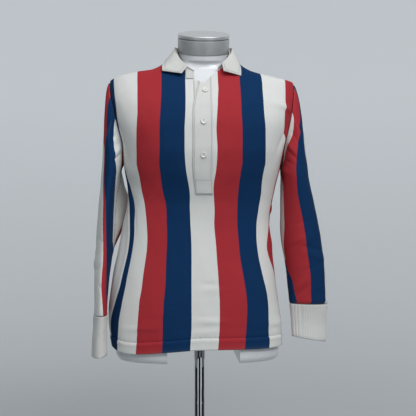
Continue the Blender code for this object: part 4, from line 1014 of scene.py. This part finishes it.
def make_sleeve(name, side):
    """Sleeve from the armhole down to the cuff."""
    grid, turns = sleeve_grid(name, side)
    height = grid[:, :, 2] / MM
    from_cuff = length_along(grid) / MM
    from_cap = from_cuff[-1:] - from_cuff
    rise = slack(np.sin(np.radians(turns))[None, :] * SLACK_REACH + 0 * height, height, SLEEVE_SEED + side)
    for angle, *fold in SLEEVE_FOLDS[name] + SLEEVE_CREASES[name]:
        near = off_angle(turns, angle)[None, :] * SLEEVE_DEGREE + 0 * height
        rise = rise + fold_rise([(0.0, *fold)], near, height)
    rise = rise * np.minimum(1.0, from_cap / CAP_FADE) * np.minimum(1.0, from_cuff / CUFF_FADE)
    rise = rise + ridges(from_cap, CAP_RIDGE) + ridges(from_cuff, CUFF_SEAM_RIDGE)
    across = sleeve_stripes(name, side, grid)
    grid = raised(grid, tube_normals(grid), rise)
    worn_and_shaded = wear_of(rise, from_cuff, from_cap * 2)
    obj = sheet_mesh("sleeve_cloth_" + name, grid, across, from_cuff, worn_and_shaded, JERSEY_CLOTH, JERSEY, closed=True)
    return stands_for(obj, "sleeve_" + name)


# Creases of each cuff: angle round from the outside (degrees, front positive), depth and half width (mm).
CUFF_CREASES = {
    "left": (
        (149, 1.6, 2.2), (136, 1.2, 2.0), (122, 1.4, 2.4), (70, 0.6, 3.0), (-60, 1.2, 3.0), (-130, 1.4, 2.6),
    ),
    "right": ((96, 0.8, 2.6), (40, 0.8, 3.0), (-80, 1.2, 3.0), (160, 1.0, 3.0)),
}
# Cuff, millimetres: how far its ribs rise, how round they are, its girth, knitted depth, length as worn, and
# one degree round it.
RIBS = 66
RIB_POINTS = 5
RIB_RISE = 0.45
CUFF_ROWS = 30
RIB_ROUND = 0.7
CUFF_GIRTH = 220
CUFF_DEPTH = 84
CUFF_LENGTH = 80
CUFF_DEGREE = 0.62
# Least share of a cuff crease's depth, and how its depth sways up the cuff (radians from end to end).
CREASE_LEAST = 0.45
CREASE_SWAY = 2.6
# Distances from a cuff's ends over which its ribs and its slack fade out, in rows.
RIB_FADE = 1.5
SLACK_FADE = 2


def make_cuff(name, side):
    """Rib-knit cuff, its ribs raised round the outside."""
    grid = np.array(table_rings(CUFFS[name], side, CUFF_ROWS, RIBS * RIB_POINTS)[::-1])
    if side > 0:
        grid = grid[:, ::-1]
    turn = np.linspace(0, 2 * math.pi, grid.shape[1])[None, :]
    up = np.linspace(0, 1, CUFF_ROWS)[:, None]
    rib = np.abs(np.sin(turn * RIBS / 2)) ** RIB_ROUND
    end = np.minimum(up, 1 - up) * CUFF_ROWS
    rise = RIB_RISE * rib * np.minimum(1.0, end / RIB_FADE)
    rise = rise + slack(np.sin(turn) * SLACK_REACH, up * CUFF_LENGTH, CUFF_SEED + side)
    rise = rise * np.minimum(1.0, end / SLACK_FADE)
    degrees = np.degrees(turn if side < 0 else 2 * math.pi - turn)
    for angle, depth, width in CUFF_CREASES[name]:
        uneven = CREASE_LEAST + (1 - CREASE_LEAST) * np.sin(CREASE_SWAY * up + angle) ** 2
        rise = rise + ridges(off_angle(degrees, angle) * CUFF_DEGREE, (-depth, 0, width)) * uneven
    grid = raised(grid, tube_normals(grid), rise)
    across = np.broadcast_to(turn / (2 * math.pi) * CUFF_GIRTH, grid.shape[:2])
    from_edge = np.broadcast_to(up * CUFF_DEPTH, grid.shape[:2])
    # Painted shade: the troughs between the ribs are darkened, handed to the rib's material as its tone
    # attribute.
    worn_and_shaded = 1 - rib + 0 * from_edge
    obj = sheet_mesh("cuff_rib_" + name, grid, across, from_edge, worn_and_shaded, RIB_CLOTH_PAINTED_SHADE, RIB, closed=True)
    return stands_for(obj, "cuff_" + name)


def neckline(panels):
    """Neckline corners of both panels: angle round the neck from the back, point and up direction."""
    found = []
    for panel in ("front", "back"):
        _, grid, _ = panels[panel]
        out = normals(grid)
        for point, direction in zip(grid[-1], out[-3]):
            if abs(point[0] - NECK_CENTRE) < NECK_HALF_WIDTH + MM:
                angle = math.degrees(math.atan2(point[0] - NECK_CENTRE, point[1]))
                found.append((angle, *point, *direction))
    found = np.array(sorted(found))
    run = np.gradient(found[:, 1:4], axis=0)
    rise = np.cross(found[:, 4:7], run)
    rise *= np.sign(rise[:, 2:3])
    found[:, 4:7] = rise / np.maximum(np.linalg.norm(rise, axis=1, keepdims=True), 1e-12)
    return found


def collar_place(part, angle):
    """Point of the collar's table at a signed angle from the back."""
    rows = np.array(COLLAR, float)
    at = [curve(rows[:, 0], rows[:, COLLAR_COLUMNS.index(f"{part}_{axis}")], angle) for axis in "xyz"]
    return np.array((NECK_CENTRE, 0, 0)) + np.array(at) * MM


def cloth_map(grid):
    """Distances across and up the cloth in millimetres, and from the nearest of its ends."""
    across, up = length_along(grid, 1) / MM, length_along(grid, 0) / MM
    return across, up, np.minimum(across, across[:, -1:] - across)


STAND_COLUMNS = 140
STAND_ROWS = 14
FALL_COLUMNS = 150
FALL_ROWS = 34
FALL_FADE = 10
LABEL_ROW_COUNT = 8
# Rows and columns of the fall's grid that its stitching follows.
FALL_STITCHES = {
    "edge": (4, slice(2, -2)),
    "left": (slice(4, -4), 2),
    "right": (slice(4, -4), -3),
}


def out_direction(x, y, height):
    """Outward unit direction of the worn shirt's surface through a point."""
    def fullness(level):
        depth = section(level, "front" if y < 0 else "back")
        reach = abs(x - section(level, "centre")) / section(level, "half_width")
        return reach ** section(level, "square") + (abs(y) / depth) ** section(level, "square")

    square = float(section(height, "square"))
    half = float(section(height, "half_width"))
    depth = float(section(height, "front" if y < 0 else "back"))
    reach = (x - float(section(height, "centre"))) / half
    slope = np.array((
        math.copysign(abs(reach) ** (square - 1), reach) * square / half,
        math.copysign((abs(y) / depth) ** (square - 1), y) * square / depth,
        float(fullness(height + MM) - fullness(height - MM)) / (2 * MM),
    ))
    return slope / np.linalg.norm(slope)


def eased(value, start, stop):
    """Soft step from 0 at start to 1 at stop."""
    t = min(1.0, max(0.0, (value - start) / (stop - start)))
    return t * t * (3 - 2 * t)


def stand_angles():
    """Angles of the stand's columns, from the wearer's left end to the right."""
    even = np.linspace(STAND_ENDS[0], STAND_ENDS[1], STAND_COLUMNS + 1)
    return np.array(sorted((*even, *LAP_ANGLES[2:]), reverse=True))


def stand_column(line, angle):
    """Outer points of the stand at an angle, from its foot up."""
    place = np.array([np.interp(angle, line[:, 0], line[:, k]) for k in range(1, 7)])
    lap = (COLLAR_CLOTH + LAY_GAP) * eased(angle, LAP_ANGLES[0], LAP_ANGLES[1])
    foot = place[:3] + place[3:] * STAND_LIFT + out_direction(*place[:3]) * lap
    top = collar_place("top", angle)
    column = []
    for k in range(STAND_ROWS + 1):
        share = k / STAND_ROWS
        point = foot + (top - foot) * share
        if angle <= LAP_ANGLES[3] and k < STAND_ROWS:
            x = place[0] + (top[0] - place[0]) * share
            height = LAP_FOOT + (top[2] - LAP_FOOT) * share
            point = np.array((x, float(surface_y("front", x, height)), height))
            point += out_direction(*point) * lap
        column.append(point)
    return column


def fall_column(angle):
    """Outer points of the fall at an angle: a soft bend at the back, a pressed corner at the front."""
    roll, mid, edge = (collar_place(part, angle) for part in ("roll", "mid", "edge"))
    crisp = eased(abs(angle), *CORNER_ANGLES)
    column = []
    for t in np.linspace(0, 1, FALL_ROWS + 1):
        bend = (1 - t) * (1 - 2 * t) * edge + 4 * t * (1 - t) * mid + t * (2 * t - 1) * roll
        if t < FALL_CORNER:
            pressed = edge + (mid - edge) * t / FALL_CORNER
        else:
            pressed = mid + (roll - mid) * (t - FALL_CORNER) / (1 - FALL_CORNER)
        column.append(bend * (1 - crisp) + pressed * crisp)
    return column


def make_stand(panels):
    """Stand round the neck, and its grid of outer points."""
    line = neckline(panels)
    grid = np.array([stand_column(line, angle) for angle in stand_angles()]).transpose(1, 0, 2)
    across, up, ends = cloth_map(grid)
    worn_and_shaded = wear_of(0 * up, ends, up)
    obj = sheet_mesh("collar_stand_twill", grid, across, up, worn_and_shaded, COLLAR_TWILL_SHADED, COLLAR_CLOTH)
    return stands_for(obj, "collar_stand"), grid


def make_fall():
    """Fall turned over its roll, stitched along its free edge and both ends."""
    angles = np.linspace(FALL_END, -FALL_END, FALL_COLUMNS + 1)
    grid = np.array([fall_column(angle) for angle in angles]).transpose(1, 0, 2)
    across, up, ends = cloth_map(grid)
    from_edge = np.minimum(ends, up)
    rise = slack(across, up, FALL_SEED) * np.minimum(1.0, from_edge / FALL_FADE)
    rise = rise + ridges(from_edge, *FALL_RIDGES)
    grid = raised(grid, normals(grid), rise)
    worn_and_shaded = wear_of(rise, from_edge)
    obj = sheet_mesh("collar_fall_twill", grid, across, up, worn_and_shaded, COLLAR_TWILL_SHADED, COLLAR_CLOTH)
    stands_for(obj, "collar_fall")
    stitch_lines("collar_thread_", grid, normals(grid), FALL_STITCHES)
    return obj


def make_label(stand):
    """Plain label inside the stand, whose grid of outer points is given."""
    inward = -normals(stand)
    picked = [j for j, a in enumerate(stand_angles()) if LABEL_ANGLES[0] <= a <= LABEL_ANGLES[1]]
    rows = []
    for share in np.linspace(*LABEL_ROWS, LABEL_ROW_COUNT):
        at = share * STAND_ROWS
        i = min(int(at), STAND_ROWS - 1)
        row = stand[i, picked] * (1 - at + i) + stand[i + 1, picked] * (at - i)
        rows.append(row + inward[i, picked] * (COLLAR_CLOTH + LABEL_GAP))
    grid = np.array(rows)
    across, up, _ = cloth_map(grid)
    obj = sheet_mesh("label_satin", grid, across, up, 0 * up, LABEL_SATIN, LABEL_CLOTH)
    return stands_for(obj, "neck_label")


def between(steps, value):
    """Step that a value lies in, and how far through it the value is."""
    k = int(np.clip(np.searchsorted(steps, value) - 1, 0, len(steps) - 2))
    return k, (value - steps[k]) / (steps[k + 1] - steps[k])


def on_grid(grid, out, shares, share, height):
    """Point and outward direction of a panel at a share across and a height."""
    j, part = between(shares, share)
    column = grid[:, j] * (1 - part) + grid[:, j + 1] * part
    lean = out[:, j] * (1 - part) + out[:, j + 1] * part
    i, rise = between(column[:, 2], height)
    direction = lean[i] * (1 - rise) + lean[i + 1] * rise
    return column[i] * (1 - rise) + column[i + 1] * rise, direction / np.linalg.norm(direction)


def overlap_shift(height):
    """Share of the overlap's turn to the side at a height, where the neck is open."""
    rise = (height - OVERLAP_TURN_HEIGHT) / (NECK_FOOT - OVERLAP_TURN_HEIGHT)
    return min(1.0, max(0.0, rise)) ** OVERLAP_TURN_POWER


def strip_grid(front, left, right, foot, size, turn=0.0):
    """Points and outward directions of a placket strip on the front; size is its columns and rows."""
    grid, out, shares = front
    columns, rows = size
    middle = int(np.argmin(np.abs(shares)))
    full = neck_height("front", grid[-1, middle, 0])
    points, leans = [], []
    for level in np.linspace(foot, full, rows + 1):
        start = left + turn * overlap_shift(level)
        for share in np.linspace(start, right, columns + 1):
            n, part = between(shares, share)
            neck = grid[-1, n, 2] * (1 - part) + grid[-1, n + 1, 2] * part - 2 * SEAM_GAP
            height = level
            if level > UNDERARM:
                height = UNDERARM + (level - UNDERARM) * (neck - UNDERARM) / (full - UNDERARM)
            point, lean = on_grid(grid, out, shares, share, height)
            points.append(point)
            leans.append(lean)
    shape = (rows + 1, columns + 1, 3)
    return np.reshape(points, shape), np.reshape(leans, shape)


# Columns and rows of the strips' grids, and the lines of the overlap's grid that its stitching follows.
UNDERLAP_GRID = (12, 70)
OVERLAP_GRID = (40, 130)
OVERLAP_STITCHES = {
    "left": (slice(1, None), 3),
    "right": (slice(1, None), -4),
    "foot": (1, slice(3, -3)),
    "bar": (16, slice(3, -3)),
}
UNDERLAP_SIDE_GAP = 1.2 * SEAM_GAP
OVERLAP_LIFT = TWILL + OVERLAP_GAP
# Thread stitches, metres: spacing, length, radius, height of the middle above the cloth, and how far either
# way along its line a stitch takes its aim.
STITCH_PITCH = 3.0 * MM
STITCH_LENGTH = 2.3 * MM
STITCH_RADIUS = 0.4 * MM
STITCH_LIFT = 0.14 * MM
STITCH_AIM = 0.2 * MM


def stitches(name, line, leans):
    """Row of thread stitches laid along a line on the cloth; leans are the outward directions."""
    run = length_along(line)
    at = np.arange(STITCH_PITCH / 2, run[-1], STITCH_PITCH)
    ways = at_lengths(line, run, at + STITCH_AIM) - at_lengths(line, run, at - STITCH_AIM)
    bm = bmesh.new()
    for place, lean, way in zip(at_lengths(line, run, at), at_lengths(leans, run, at), ways):
        middle = Vector(place) + Vector(lean).normalized() * STITCH_LIFT
        bmesh.ops.create_cone(
            bm, cap_ends=True, segments=6, radius1=STITCH_RADIUS, radius2=STITCH_RADIUS, depth=STITCH_LENGTH,
            matrix=upright(middle, Vector(way).normalized()),
        )
    finished(name, bm, SEAM_THREAD_SHADED)


def stitch_lines(prefix, grid, leans, lines):
    """Rows of stitches along the named lines of a piece's grid."""
    for name, line in lines.items():
        stitches(prefix + name, grid[line], leans[line])


def make_underlap(front):
    """Underlap in the slot of the front."""
    left, right = slot_shares()
    gap = UNDERLAP_SIDE_GAP / SHARE_ARC
    grid, _ = strip_grid(front, left + gap, right - gap, PLACKET_FOOT + SEAM_GAP, UNDERLAP_GRID)
    across, up, ends = cloth_map(grid)
    worn_and_shaded = wear_of(0 * up, ends)
    obj = sheet_mesh("placket_underlap_twill", grid, across, up, worn_and_shaded, TWILL_CLOTH, TWILL)
    return stands_for(obj, "placket_underlap")


def make_overlap(front):
    """Overlap laid over the underlap, turned to the side where the neck is open, with its stitching."""
    left, right = (arc / SHARE_ARC for arc in OVERLAP)
    grid, leans = strip_grid(front, left, right, OVERLAP_FOOT, OVERLAP_GRID, OVERLAP_TOP_SHIFT / SHARE_ARC)
    across, up, ends = cloth_map(grid)
    from_edge = np.minimum(ends, up)
    rise = ridges(from_edge, *OVERLAP_RIDGES) + ridges(up, OVERLAP_BAR)
    rise = rise + OVERLAP_SLACK * slack(across * 2, up, OVERLAP_SEED)
    grid = raised(grid, leans, OVERLAP_LIFT / MM + rise)
    worn_and_shaded = wear_of(rise, from_edge)
    obj = sheet_mesh("placket_overlap_twill", grid, across, up, worn_and_shaded, TWILL_CLOTH, TWILL)
    stands_for(obj, "placket_overlap")
    stitch_lines("placket_thread_", grid, leans, OVERLAP_STITCHES)
    return obj


def button_seat(front, height):
    """Place of a button on the overlap, and its way out."""
    share = (BUTTON_ARC + 0.5 * OVERLAP_TOP_SHIFT * overlap_shift(height)) / SHARE_ARC
    point, out = (Vector(found) for found in on_grid(*front, share, height))
    return point + out * (OVERLAP_LIFT + LAY_GAP), out


BUTTON_THICKNESS = 2.6 * MM
HOLE_PLACE = 1.35 * MM
HOLE_RADIUS = 0.75 * MM
THREAD_RADIUS = 0.4 * MM
THREAD_HEIGHT = 1.85 * MM
BUTTON_PROFILE = (
    (0.0, 1.7), (3.6, 1.75), (4.4, 2.1), (5.0, 2.55), (5.5, 2.6), (6.0, 2.3), (6.3, 1.6), (6.2, 0.7),
    (5.6, 0.0), (0.0, 0.0),
)


def spun(name, profile, steps, place, finish):
    """Solid turned about Z from a profile of (radius, height) in millimetres, then set in place."""
    bm = turned([(r * MM, z * MM) for r, z in profile], steps)
    bmesh.ops.transform(bm, matrix=place, verts=bm.verts)
    return finished(name, bm, finish)


def make_button(number, seat, out):
    """Dished four-hole button sewn on with a cross of thread."""
    place = upright(seat, out)
    obj = spun(f"button_resin_{number}", BUTTON_PROFILE, 48, place, RESIN)
    holes = bmesh.new()
    for x in (-HOLE_PLACE, HOLE_PLACE):
        for y in (-HOLE_PLACE, HOLE_PLACE):
            bmesh.ops.create_cone(
                holes, cap_ends=True, segments=16, radius1=HOLE_RADIUS, radius2=HOLE_RADIUS,
                depth=2 * BUTTON_THICKNESS, matrix=place @ Matrix.Translation((x, y, BUTTON_THICKNESS / 2)),
            )
    cut_away(obj, holes)
    stands_for(obj, f"button_{number}")
    bm = bmesh.new()
    for turn in (45, 135):
        aim = Matrix.Rotation(math.radians(turn), 4, "Z") @ Matrix.Rotation(math.radians(90), 4, "Y")
        middle = place @ Matrix.Translation((0, 0, THREAD_HEIGHT))
        bmesh.ops.create_cone(
            bm, cap_ends=True, segments=10, radius1=THREAD_RADIUS, radius2=THREAD_RADIUS,
            depth=2 * math.sqrt(2) * HOLE_PLACE, matrix=middle @ aim,
        )
    finished(f"button_thread_{number}", bm, THREAD)


# Levels of the torso, millimetres: height, and how much further inside the shirt than its ease.
FORM_EASE = 3.2
FORM_DROP = 3.2
FORM_LEVELS = (
    (392, 9.5), (394.5, 7), (404, 3), (425, 3), (460, 3), (500, 3), (545, 3), (590, 3), (640, 3), (690, 2.6),
    (740, 0.75), (785, 0), (830, 0), (875, 0), (915, 0), (950, 0), (980, 0), (998, 1), (1008, 1), (1016, 1),
    (1023, 1), (1030, 1),
)
# Neck above the shoulders, millimetres: height of the centre, half width, front depth, back depth, centre
# along Y, sideways centre, share of the full tilt.
FORM_NECK = (
    (1040, 100, 50, 60, 0, 6, 0.05),
    (1049, 74, 48.5, 55, -1, 7, 0.20),
    (1058, 61, 50, 54, -2, 8, 0.45),
    (1067, 57, 54, 55, -3, 8.5, 0.75),
    (1082.6, 56.5, 56.5, 56.5, -4, 8.5, 1.0),
)
NECK_TILT = math.radians(20)
FORM_COLUMNS = 160
FORM_STEPS = 5
# Arch between the thigh stubs, millimetres: its sides, foot and top, corner radius and reach along Y.
ARCH = (-74, 84, 300, 470)
ARCH_CORNER = 45
ARCH_REACH = 200
STUB_ROUND = 9 * MM
STUB_EDGE_ANGLE = math.radians(42)


def form_rings():
    """Rings of the moulded torso from the foot to the neck, smoothed between its levels."""
    angles = np.linspace(-math.pi, math.pi, FORM_COLUMNS + 1)
    rings = []
    for level, extra in FORM_LEVELS:
        plan = ring(level * MM + JERSEY + FORM_DROP * MM, angles, JERSEY + (FORM_EASE + extra) * MM)
        rings.append(np.column_stack((plan, np.full(len(plan), level * MM))))
    for height, half, front, back, along, aside, tilt in FORM_NECK:
        x = half * np.sin(angles)
        y = np.where(np.cos(angles) > 0, -front * np.cos(angles), -back * np.cos(angles))
        lean = NECK_TILT * tilt
        leaned = (aside + x, along + y * math.cos(lean), height + y * math.sin(lean))
        rings.append(np.column_stack(leaned) * MM)
    rings = np.array(rings)
    rows = np.arange(len(rings))
    fine = np.linspace(0, len(rings) - 1, FORM_STEPS * (len(rings) - 1) + 1)
    smooth = [[curve(rows, rings[:, j, k], fine) for k in range(3)] for j in range(FORM_COLUMNS + 1)]
    return np.array(smooth).transpose(2, 0, 1)


def arch_cutter():
    """Block with a rounded top that leaves the arch between the thigh stubs."""
    left, right, foot, top = (edge * MM for edge in ARCH)
    reach = ARCH_REACH * MM
    cutter = bmesh.new()
    size = Matrix.Diagonal((right - left, 2 * reach, top - foot, 1))
    middle = Matrix.Translation(((left + right) / 2, 0, (foot + top) / 2))
    bmesh.ops.create_cube(cutter, size=1, matrix=middle @ size)
    upper = [
        e for e in cutter.edges
        if abs(e.verts[0].co.y - e.verts[1].co.y) > reach and e.verts[0].co.z > top - MM
    ]
    bmesh.ops.bevel(
        cutter, geom=upper, offset=ARCH_CORNER * MM, offset_type="OFFSET", segments=12, profile=0.5,
        affect="EDGES", material=-1,
    )
    return cutter


def make_form():
    """Torso with the arch between its rounded thigh stubs."""
    grid = form_rings()
    bm = bmesh.new()
    bmesh.ops.create_grid(bm, x_segments=FORM_COLUMNS, y_segments=grid.shape[0] - 1, size=1)
    for vert, point in zip(bm.verts, grid.reshape(-1, 3)):
        vert.co = point
    bmesh.ops.remove_doubles(bm, verts=bm.verts, dist=WELD)
    bmesh.ops.holes_fill(bm, edges=bm.edges, sides=0)
    bmesh.ops.recalc_face_normals(bm, faces=bm.faces)
    torso = finished("moulded_torso", bm, MOULDED)
    cut_away(torso, arch_cutter())
    rounded = torso.modifiers.new("round", "BEVEL")
    rounded.width = STUB_ROUND
    rounded.segments = 5
    rounded.limit_method = "ANGLE"
    rounded.angle_limit = STUB_EDGE_ANGLE
    rounded.use_clamp_overlap = True
    torso.data.shade_smooth()
    stands_for(torso, "form_torso")


# Neck cap and its lid, millimetres: profiles of (radius, height) above the cap's seat.
CAP_BASE = Vector((8.5 * MM, -4 * MM, 1083 * MM))
CAP_PROFILE = (
    (0, 31), (55.6, 31), (56.6, 31), (57.4, 30.8), (57.9, 30.3), (58, 29.6), (58, 1.5), (57.8, 0.7),
    (57.3, 0.2), (56.5, 0), (0, 0),
)
LID_PROFILE = (
    (0, 41), (54.4, 41), (55.4, 41), (56.8, 40.8), (57.7, 40.1), (58, 39), (58, 34), (57.8, 33.3), (57, 33),
    (53, 33), (53, 31.3), (0, 31.3),
)
# Pole, its socket and boss, and the base, millimetres: profiles of (radius, height) from the floor.
POLE_PROFILE = ((0, 469.4), (11.6, 469.4), (12, 469), (12, 12.7), (11.6, 12.3), (0, 12.3))
SOCKET_PROFILE = (
    (12.3, 469.7), (27.5, 469.7), (28, 469.2), (28, 466.2), (27.5, 465.7), (21, 465.7), (20.3, 465.4),
    (20, 464.7), (20, 444.3), (19.4, 443.7), (12.3, 443.7), (12.3, 469.7),
)
BOSS_PROFILE = (
    (12.3, 46.3), (17, 46.3), (18.2, 46), (18.8, 45.4), (19, 44.3), (19, 13), (18.4, 12.3), (12.3, 12.3),
    (12.3, 46.3),
)
BASE_PROFILE = (
    (0, 12), (134, 12), (136, 12), (140, 11.7), (144, 10.6), (147, 9), (149, 7), (149.8, 5), (150, 3),
    (149.8, 0.3), (149.4, 0), (0, 0),
)


def make_hard_pieces():
    """Turned pieces of the cap and the stand."""
    cap_place = Matrix.Translation(CAP_BASE) @ Matrix.Rotation(NECK_TILT, 4, "X")
    for name, node, profile, steps, place, finish, slot in (
        ("cap_shell", "neck_cap", CAP_PROFILE, 128, cap_place, CAP_PAINT, "cap"),
        ("cap_lid", "neck_lid", LID_PROFILE, 128, cap_place, LID_METAL, "cap"),
        ("stand_pole", "pole", POLE_PROFILE, 96, Matrix(), CHROME, "chrome"),
        ("stand_socket", "pole_socket", SOCKET_PROFILE, 96, Matrix(), CHROME, "chrome"),
        ("stand_boss", "pole_boss", BOSS_PROFILE, 96, Matrix(), CHROME, "chrome"),
        ("stand_base", "base", BASE_PROFILE, 160, Matrix(), BASE_CHROME, "chrome"),
    ):
        stands_for(spun(name, profile, steps, place, finish), node)


PANELS = make_panels()
SLEEVE_OBJECTS = {name: make_sleeve(name, side) for name, side in (("left", 1), ("right", -1))}
CUFF_OBJECTS = {name: make_cuff(name, side) for name, side in (("left", 1), ("right", -1))}
STAND, STAND_GRID = make_stand(PANELS)
FALL = make_fall()
LABEL = make_label(STAND_GRID)
FRONT_GRID = (PANELS["front"][1], normals(PANELS["front"][1]), PANELS["front"][2])
UNDERLAP = make_underlap(FRONT_GRID)
OVERLAP_STRIP = make_overlap(FRONT_GRID)
for number, height in enumerate(BUTTON_HEIGHTS, 1):
    make_button(number, *button_seat(FRONT_GRID, height))
make_form()
make_hard_pieces()


# Studio: a pale floor that rises into a wall all round, and soft lights above.
FLOOR_RADIUS = 2.8
WALL_RADIUS = 4.3
WALL_HEIGHT = 6.0
BEND_STEPS = 12
PAPER_REACH = 8.0
# Way out along the floor and up the wall (m), tone of the paper there: painted shade, darkest on the floor
# and lighter up the wall.
PAPER_SHADE_TONES = (
    (0.0, "9A9E9F"), (1.2, "9EA2A4"), (2.2, "ABAFB1"), (4.4, "BABEC0"), (5.1, "BFC3C6"), (5.9, "C6CACD"),
)
# Painted light: the paper glows with this strength, though it is no lamp.
PAPER_PAINTED_GLOW = 0.42
# Soft boxes: name, place, width, height, power, all aimed at the breast.
LIGHTS = (
    ("overhead", (0.0, -1.4, 3.2), 2.4, 1.2, 23.0),
    ("front", (1.0, -2.7, 3.0), 2.2, 1.0, 61.0),
    ("front_left", (-2.2, -2.4, 1.5), 1.0, 2.2, 0.8),
    ("front_right", (2.3, -2.2, 1.5), 1.0, 2.2, 6.0),
)
LIGHT_AIM = Vector((0, 0, 0.8))
# Dark cards behind the camera and to the sides: azimuth (degrees), distance, width, tone. Before each lies
# a runner on the floor that carries the card's reflection down the pole.
CARDS = ((-3, 2.75, 1.7, "0A0A0A"), (-80, 2.7, 3.6, "33363B"), (76, 2.7, 3.6, "33363B"))
CARD_HEIGHT = 2.0
RUNNER_START = 0.2
RUNNER_HEIGHT = 0.002


def paper_material():
    """Matt studio paper with painted light: it glows a little though it is no lamp, and its tone is painted
    darker on the floor and lighter up the wall.
    """
    made, tree, shader = material("studio_paper_painted_light", Emission_Strength=PAPER_PAINTED_GLOW, Specular_IOR_Level=0.1)
    place = add(tree, "TexCoord").outputs["Object"]
    parts = add(tree, "SeparateXYZ", {"Vector": place})
    level = add(tree, "VectorMath", {0: place, 1: (1.0, 1.0, 0.0)}, operation="MULTIPLY")
    radius = add(tree, "VectorMath", {0: level}, operation="LENGTH")
    way = add(tree, "Math", {0: radius.outputs["Value"], 1: parts.outputs["Z"]}, operation="ADD")
    share = add(tree, "Math", {0: way, 1: 1 / PAPER_REACH}, operation="MULTIPLY")
    ramp = add(tree, "ValToRGB", {"Fac": share})
    stops = ramp.color_ramp.elements
    for k, (reach, code) in enumerate(PAPER_SHADE_TONES):
        stop = stops[k] if k < 2 else stops.new(reach / PAPER_REACH)
        stop.position = reach / PAPER_REACH
        stop.color = linear(code)
    grain = add(tree, "TexNoise", {"Vector": place, "Scale": 900.0})
    rough = add(tree, "Math", {0: grain, 1: 0.1, 2: 0.85}, operation="MULTIPLY_ADD")
    # Painted light: the tone ramp is both the paper's colour and its glow.
    dress(tree, shader, Base_Color=ramp, Emission_Color=ramp, Roughness=rough)
    return made


def staged(name, bm, finish):
    """Object of the studio."""
    obj = new_object(name, bm, finish)
    return obj


def make_sweep():
    """Floor and wall in one sweep."""
    profile = [(0.0, 0.0), (FLOOR_RADIUS, 0.0)]
    bend = WALL_RADIUS - FLOOR_RADIUS
    for k in range(1, BEND_STEPS + 1):
        angle = math.pi / 2 * k / BEND_STEPS
        profile.append((FLOOR_RADIUS + bend * math.sin(angle), bend * (1 - math.cos(angle))))
    profile.append((WALL_RADIUS, WALL_HEIGHT))
    staged("studio_sweep", turned(profile, 96), paper_material()).data.shade_smooth()


def make_card(azimuth, distance, width, tone):
    """Dark card, and its runner on the floor, which only mirrors show."""
    dark, _, _ = material(f"card_{azimuth}", Base_Color=linear(tone), Roughness=0.9, Specular_IOR_Level=0.0)
    turn = Matrix.Rotation(math.radians(azimuth), 4, "Z")
    start = RUNNER_START * width / 2 / distance
    bm = bmesh.new()
    bm.faces.new([
        bm.verts.new(turn @ Vector((x, y, RUNNER_HEIGHT))) for x, y in (
            (-start, -RUNNER_START), (start, -RUNNER_START), (width / 2, -distance), (-width / 2, -distance),
        )
    ])
    runner = staged(f"dark_runner_{azimuth}", bm, dark)
    runner.visible_diffuse = False
    runner.visible_shadow = False
    bm = bmesh.new()
    place = turn @ Matrix.Translation((0, -distance, CARD_HEIGHT / 2)) @ Matrix.Rotation(math.pi / 2, 4, "X")
    size = Matrix.Diagonal((width, CARD_HEIGHT, 1, 1))
    bmesh.ops.create_grid(bm, x_segments=1, y_segments=1, size=0.5, matrix=place @ size)
    card = staged(f"dark_card_{azimuth}", bm, dark)
    for obj in (runner, card):
        obj.visible_camera = False


def make_light(name, at, width, height, power):
    """Soft box aimed at the breast."""
    lamp = bpy.data.lights.new(name, "AREA")
    lamp.shape = "RECTANGLE"
    lamp.size = width
    lamp.size_y = height
    lamp.energy = power
    light = bpy.data.objects.new(name, lamp)
    light.location = at
    light.rotation_euler = (LIGHT_AIM - Vector(at)).to_track_quat("-Z", "Y").to_euler()
    light.visible_camera = False
    bpy.context.scene.collection.objects.link(light)


make_sweep()
for card in CARDS:
    make_card(*card)
for light in LIGHTS:
    make_light(*light)

ROOM_TONE = "E6EAF0"
ROOM_GLOW = 0.2
world = bpy.data.worlds.new("studio")
world.use_nodes = True
room = world.node_tree.nodes["Background"].inputs
room["Color"].default_value = linear(ROOM_TONE)
room["Strength"].default_value = ROOM_GLOW
bpy.context.scene.world = world
bpy.context.scene.view_settings.view_transform = "Standard"

# Camera at breast height, three degrees to the wearer's right of straight ahead.
CAMERA_TURN = math.radians(-3)
CAMERA_DISTANCE = 1.7
CAMERA_HEIGHT = 0.73
LENS = 64.8
LENS_SHIFT = 0.0204
lens = bpy.data.cameras.new("camera")
lens.lens = LENS
lens.sensor_width = 36
lens.shift_x = LENS_SHIFT
camera = bpy.data.objects.new("camera", lens)
camera.location = (
    CAMERA_DISTANCE * math.sin(CAMERA_TURN), -CAMERA_DISTANCE * math.cos(CAMERA_TURN), CAMERA_HEIGHT,
)
camera.rotation_euler = (math.radians(90), 0, CAMERA_TURN)
bpy.context.scene.collection.objects.link(camera)
bpy.context.scene.camera = camera
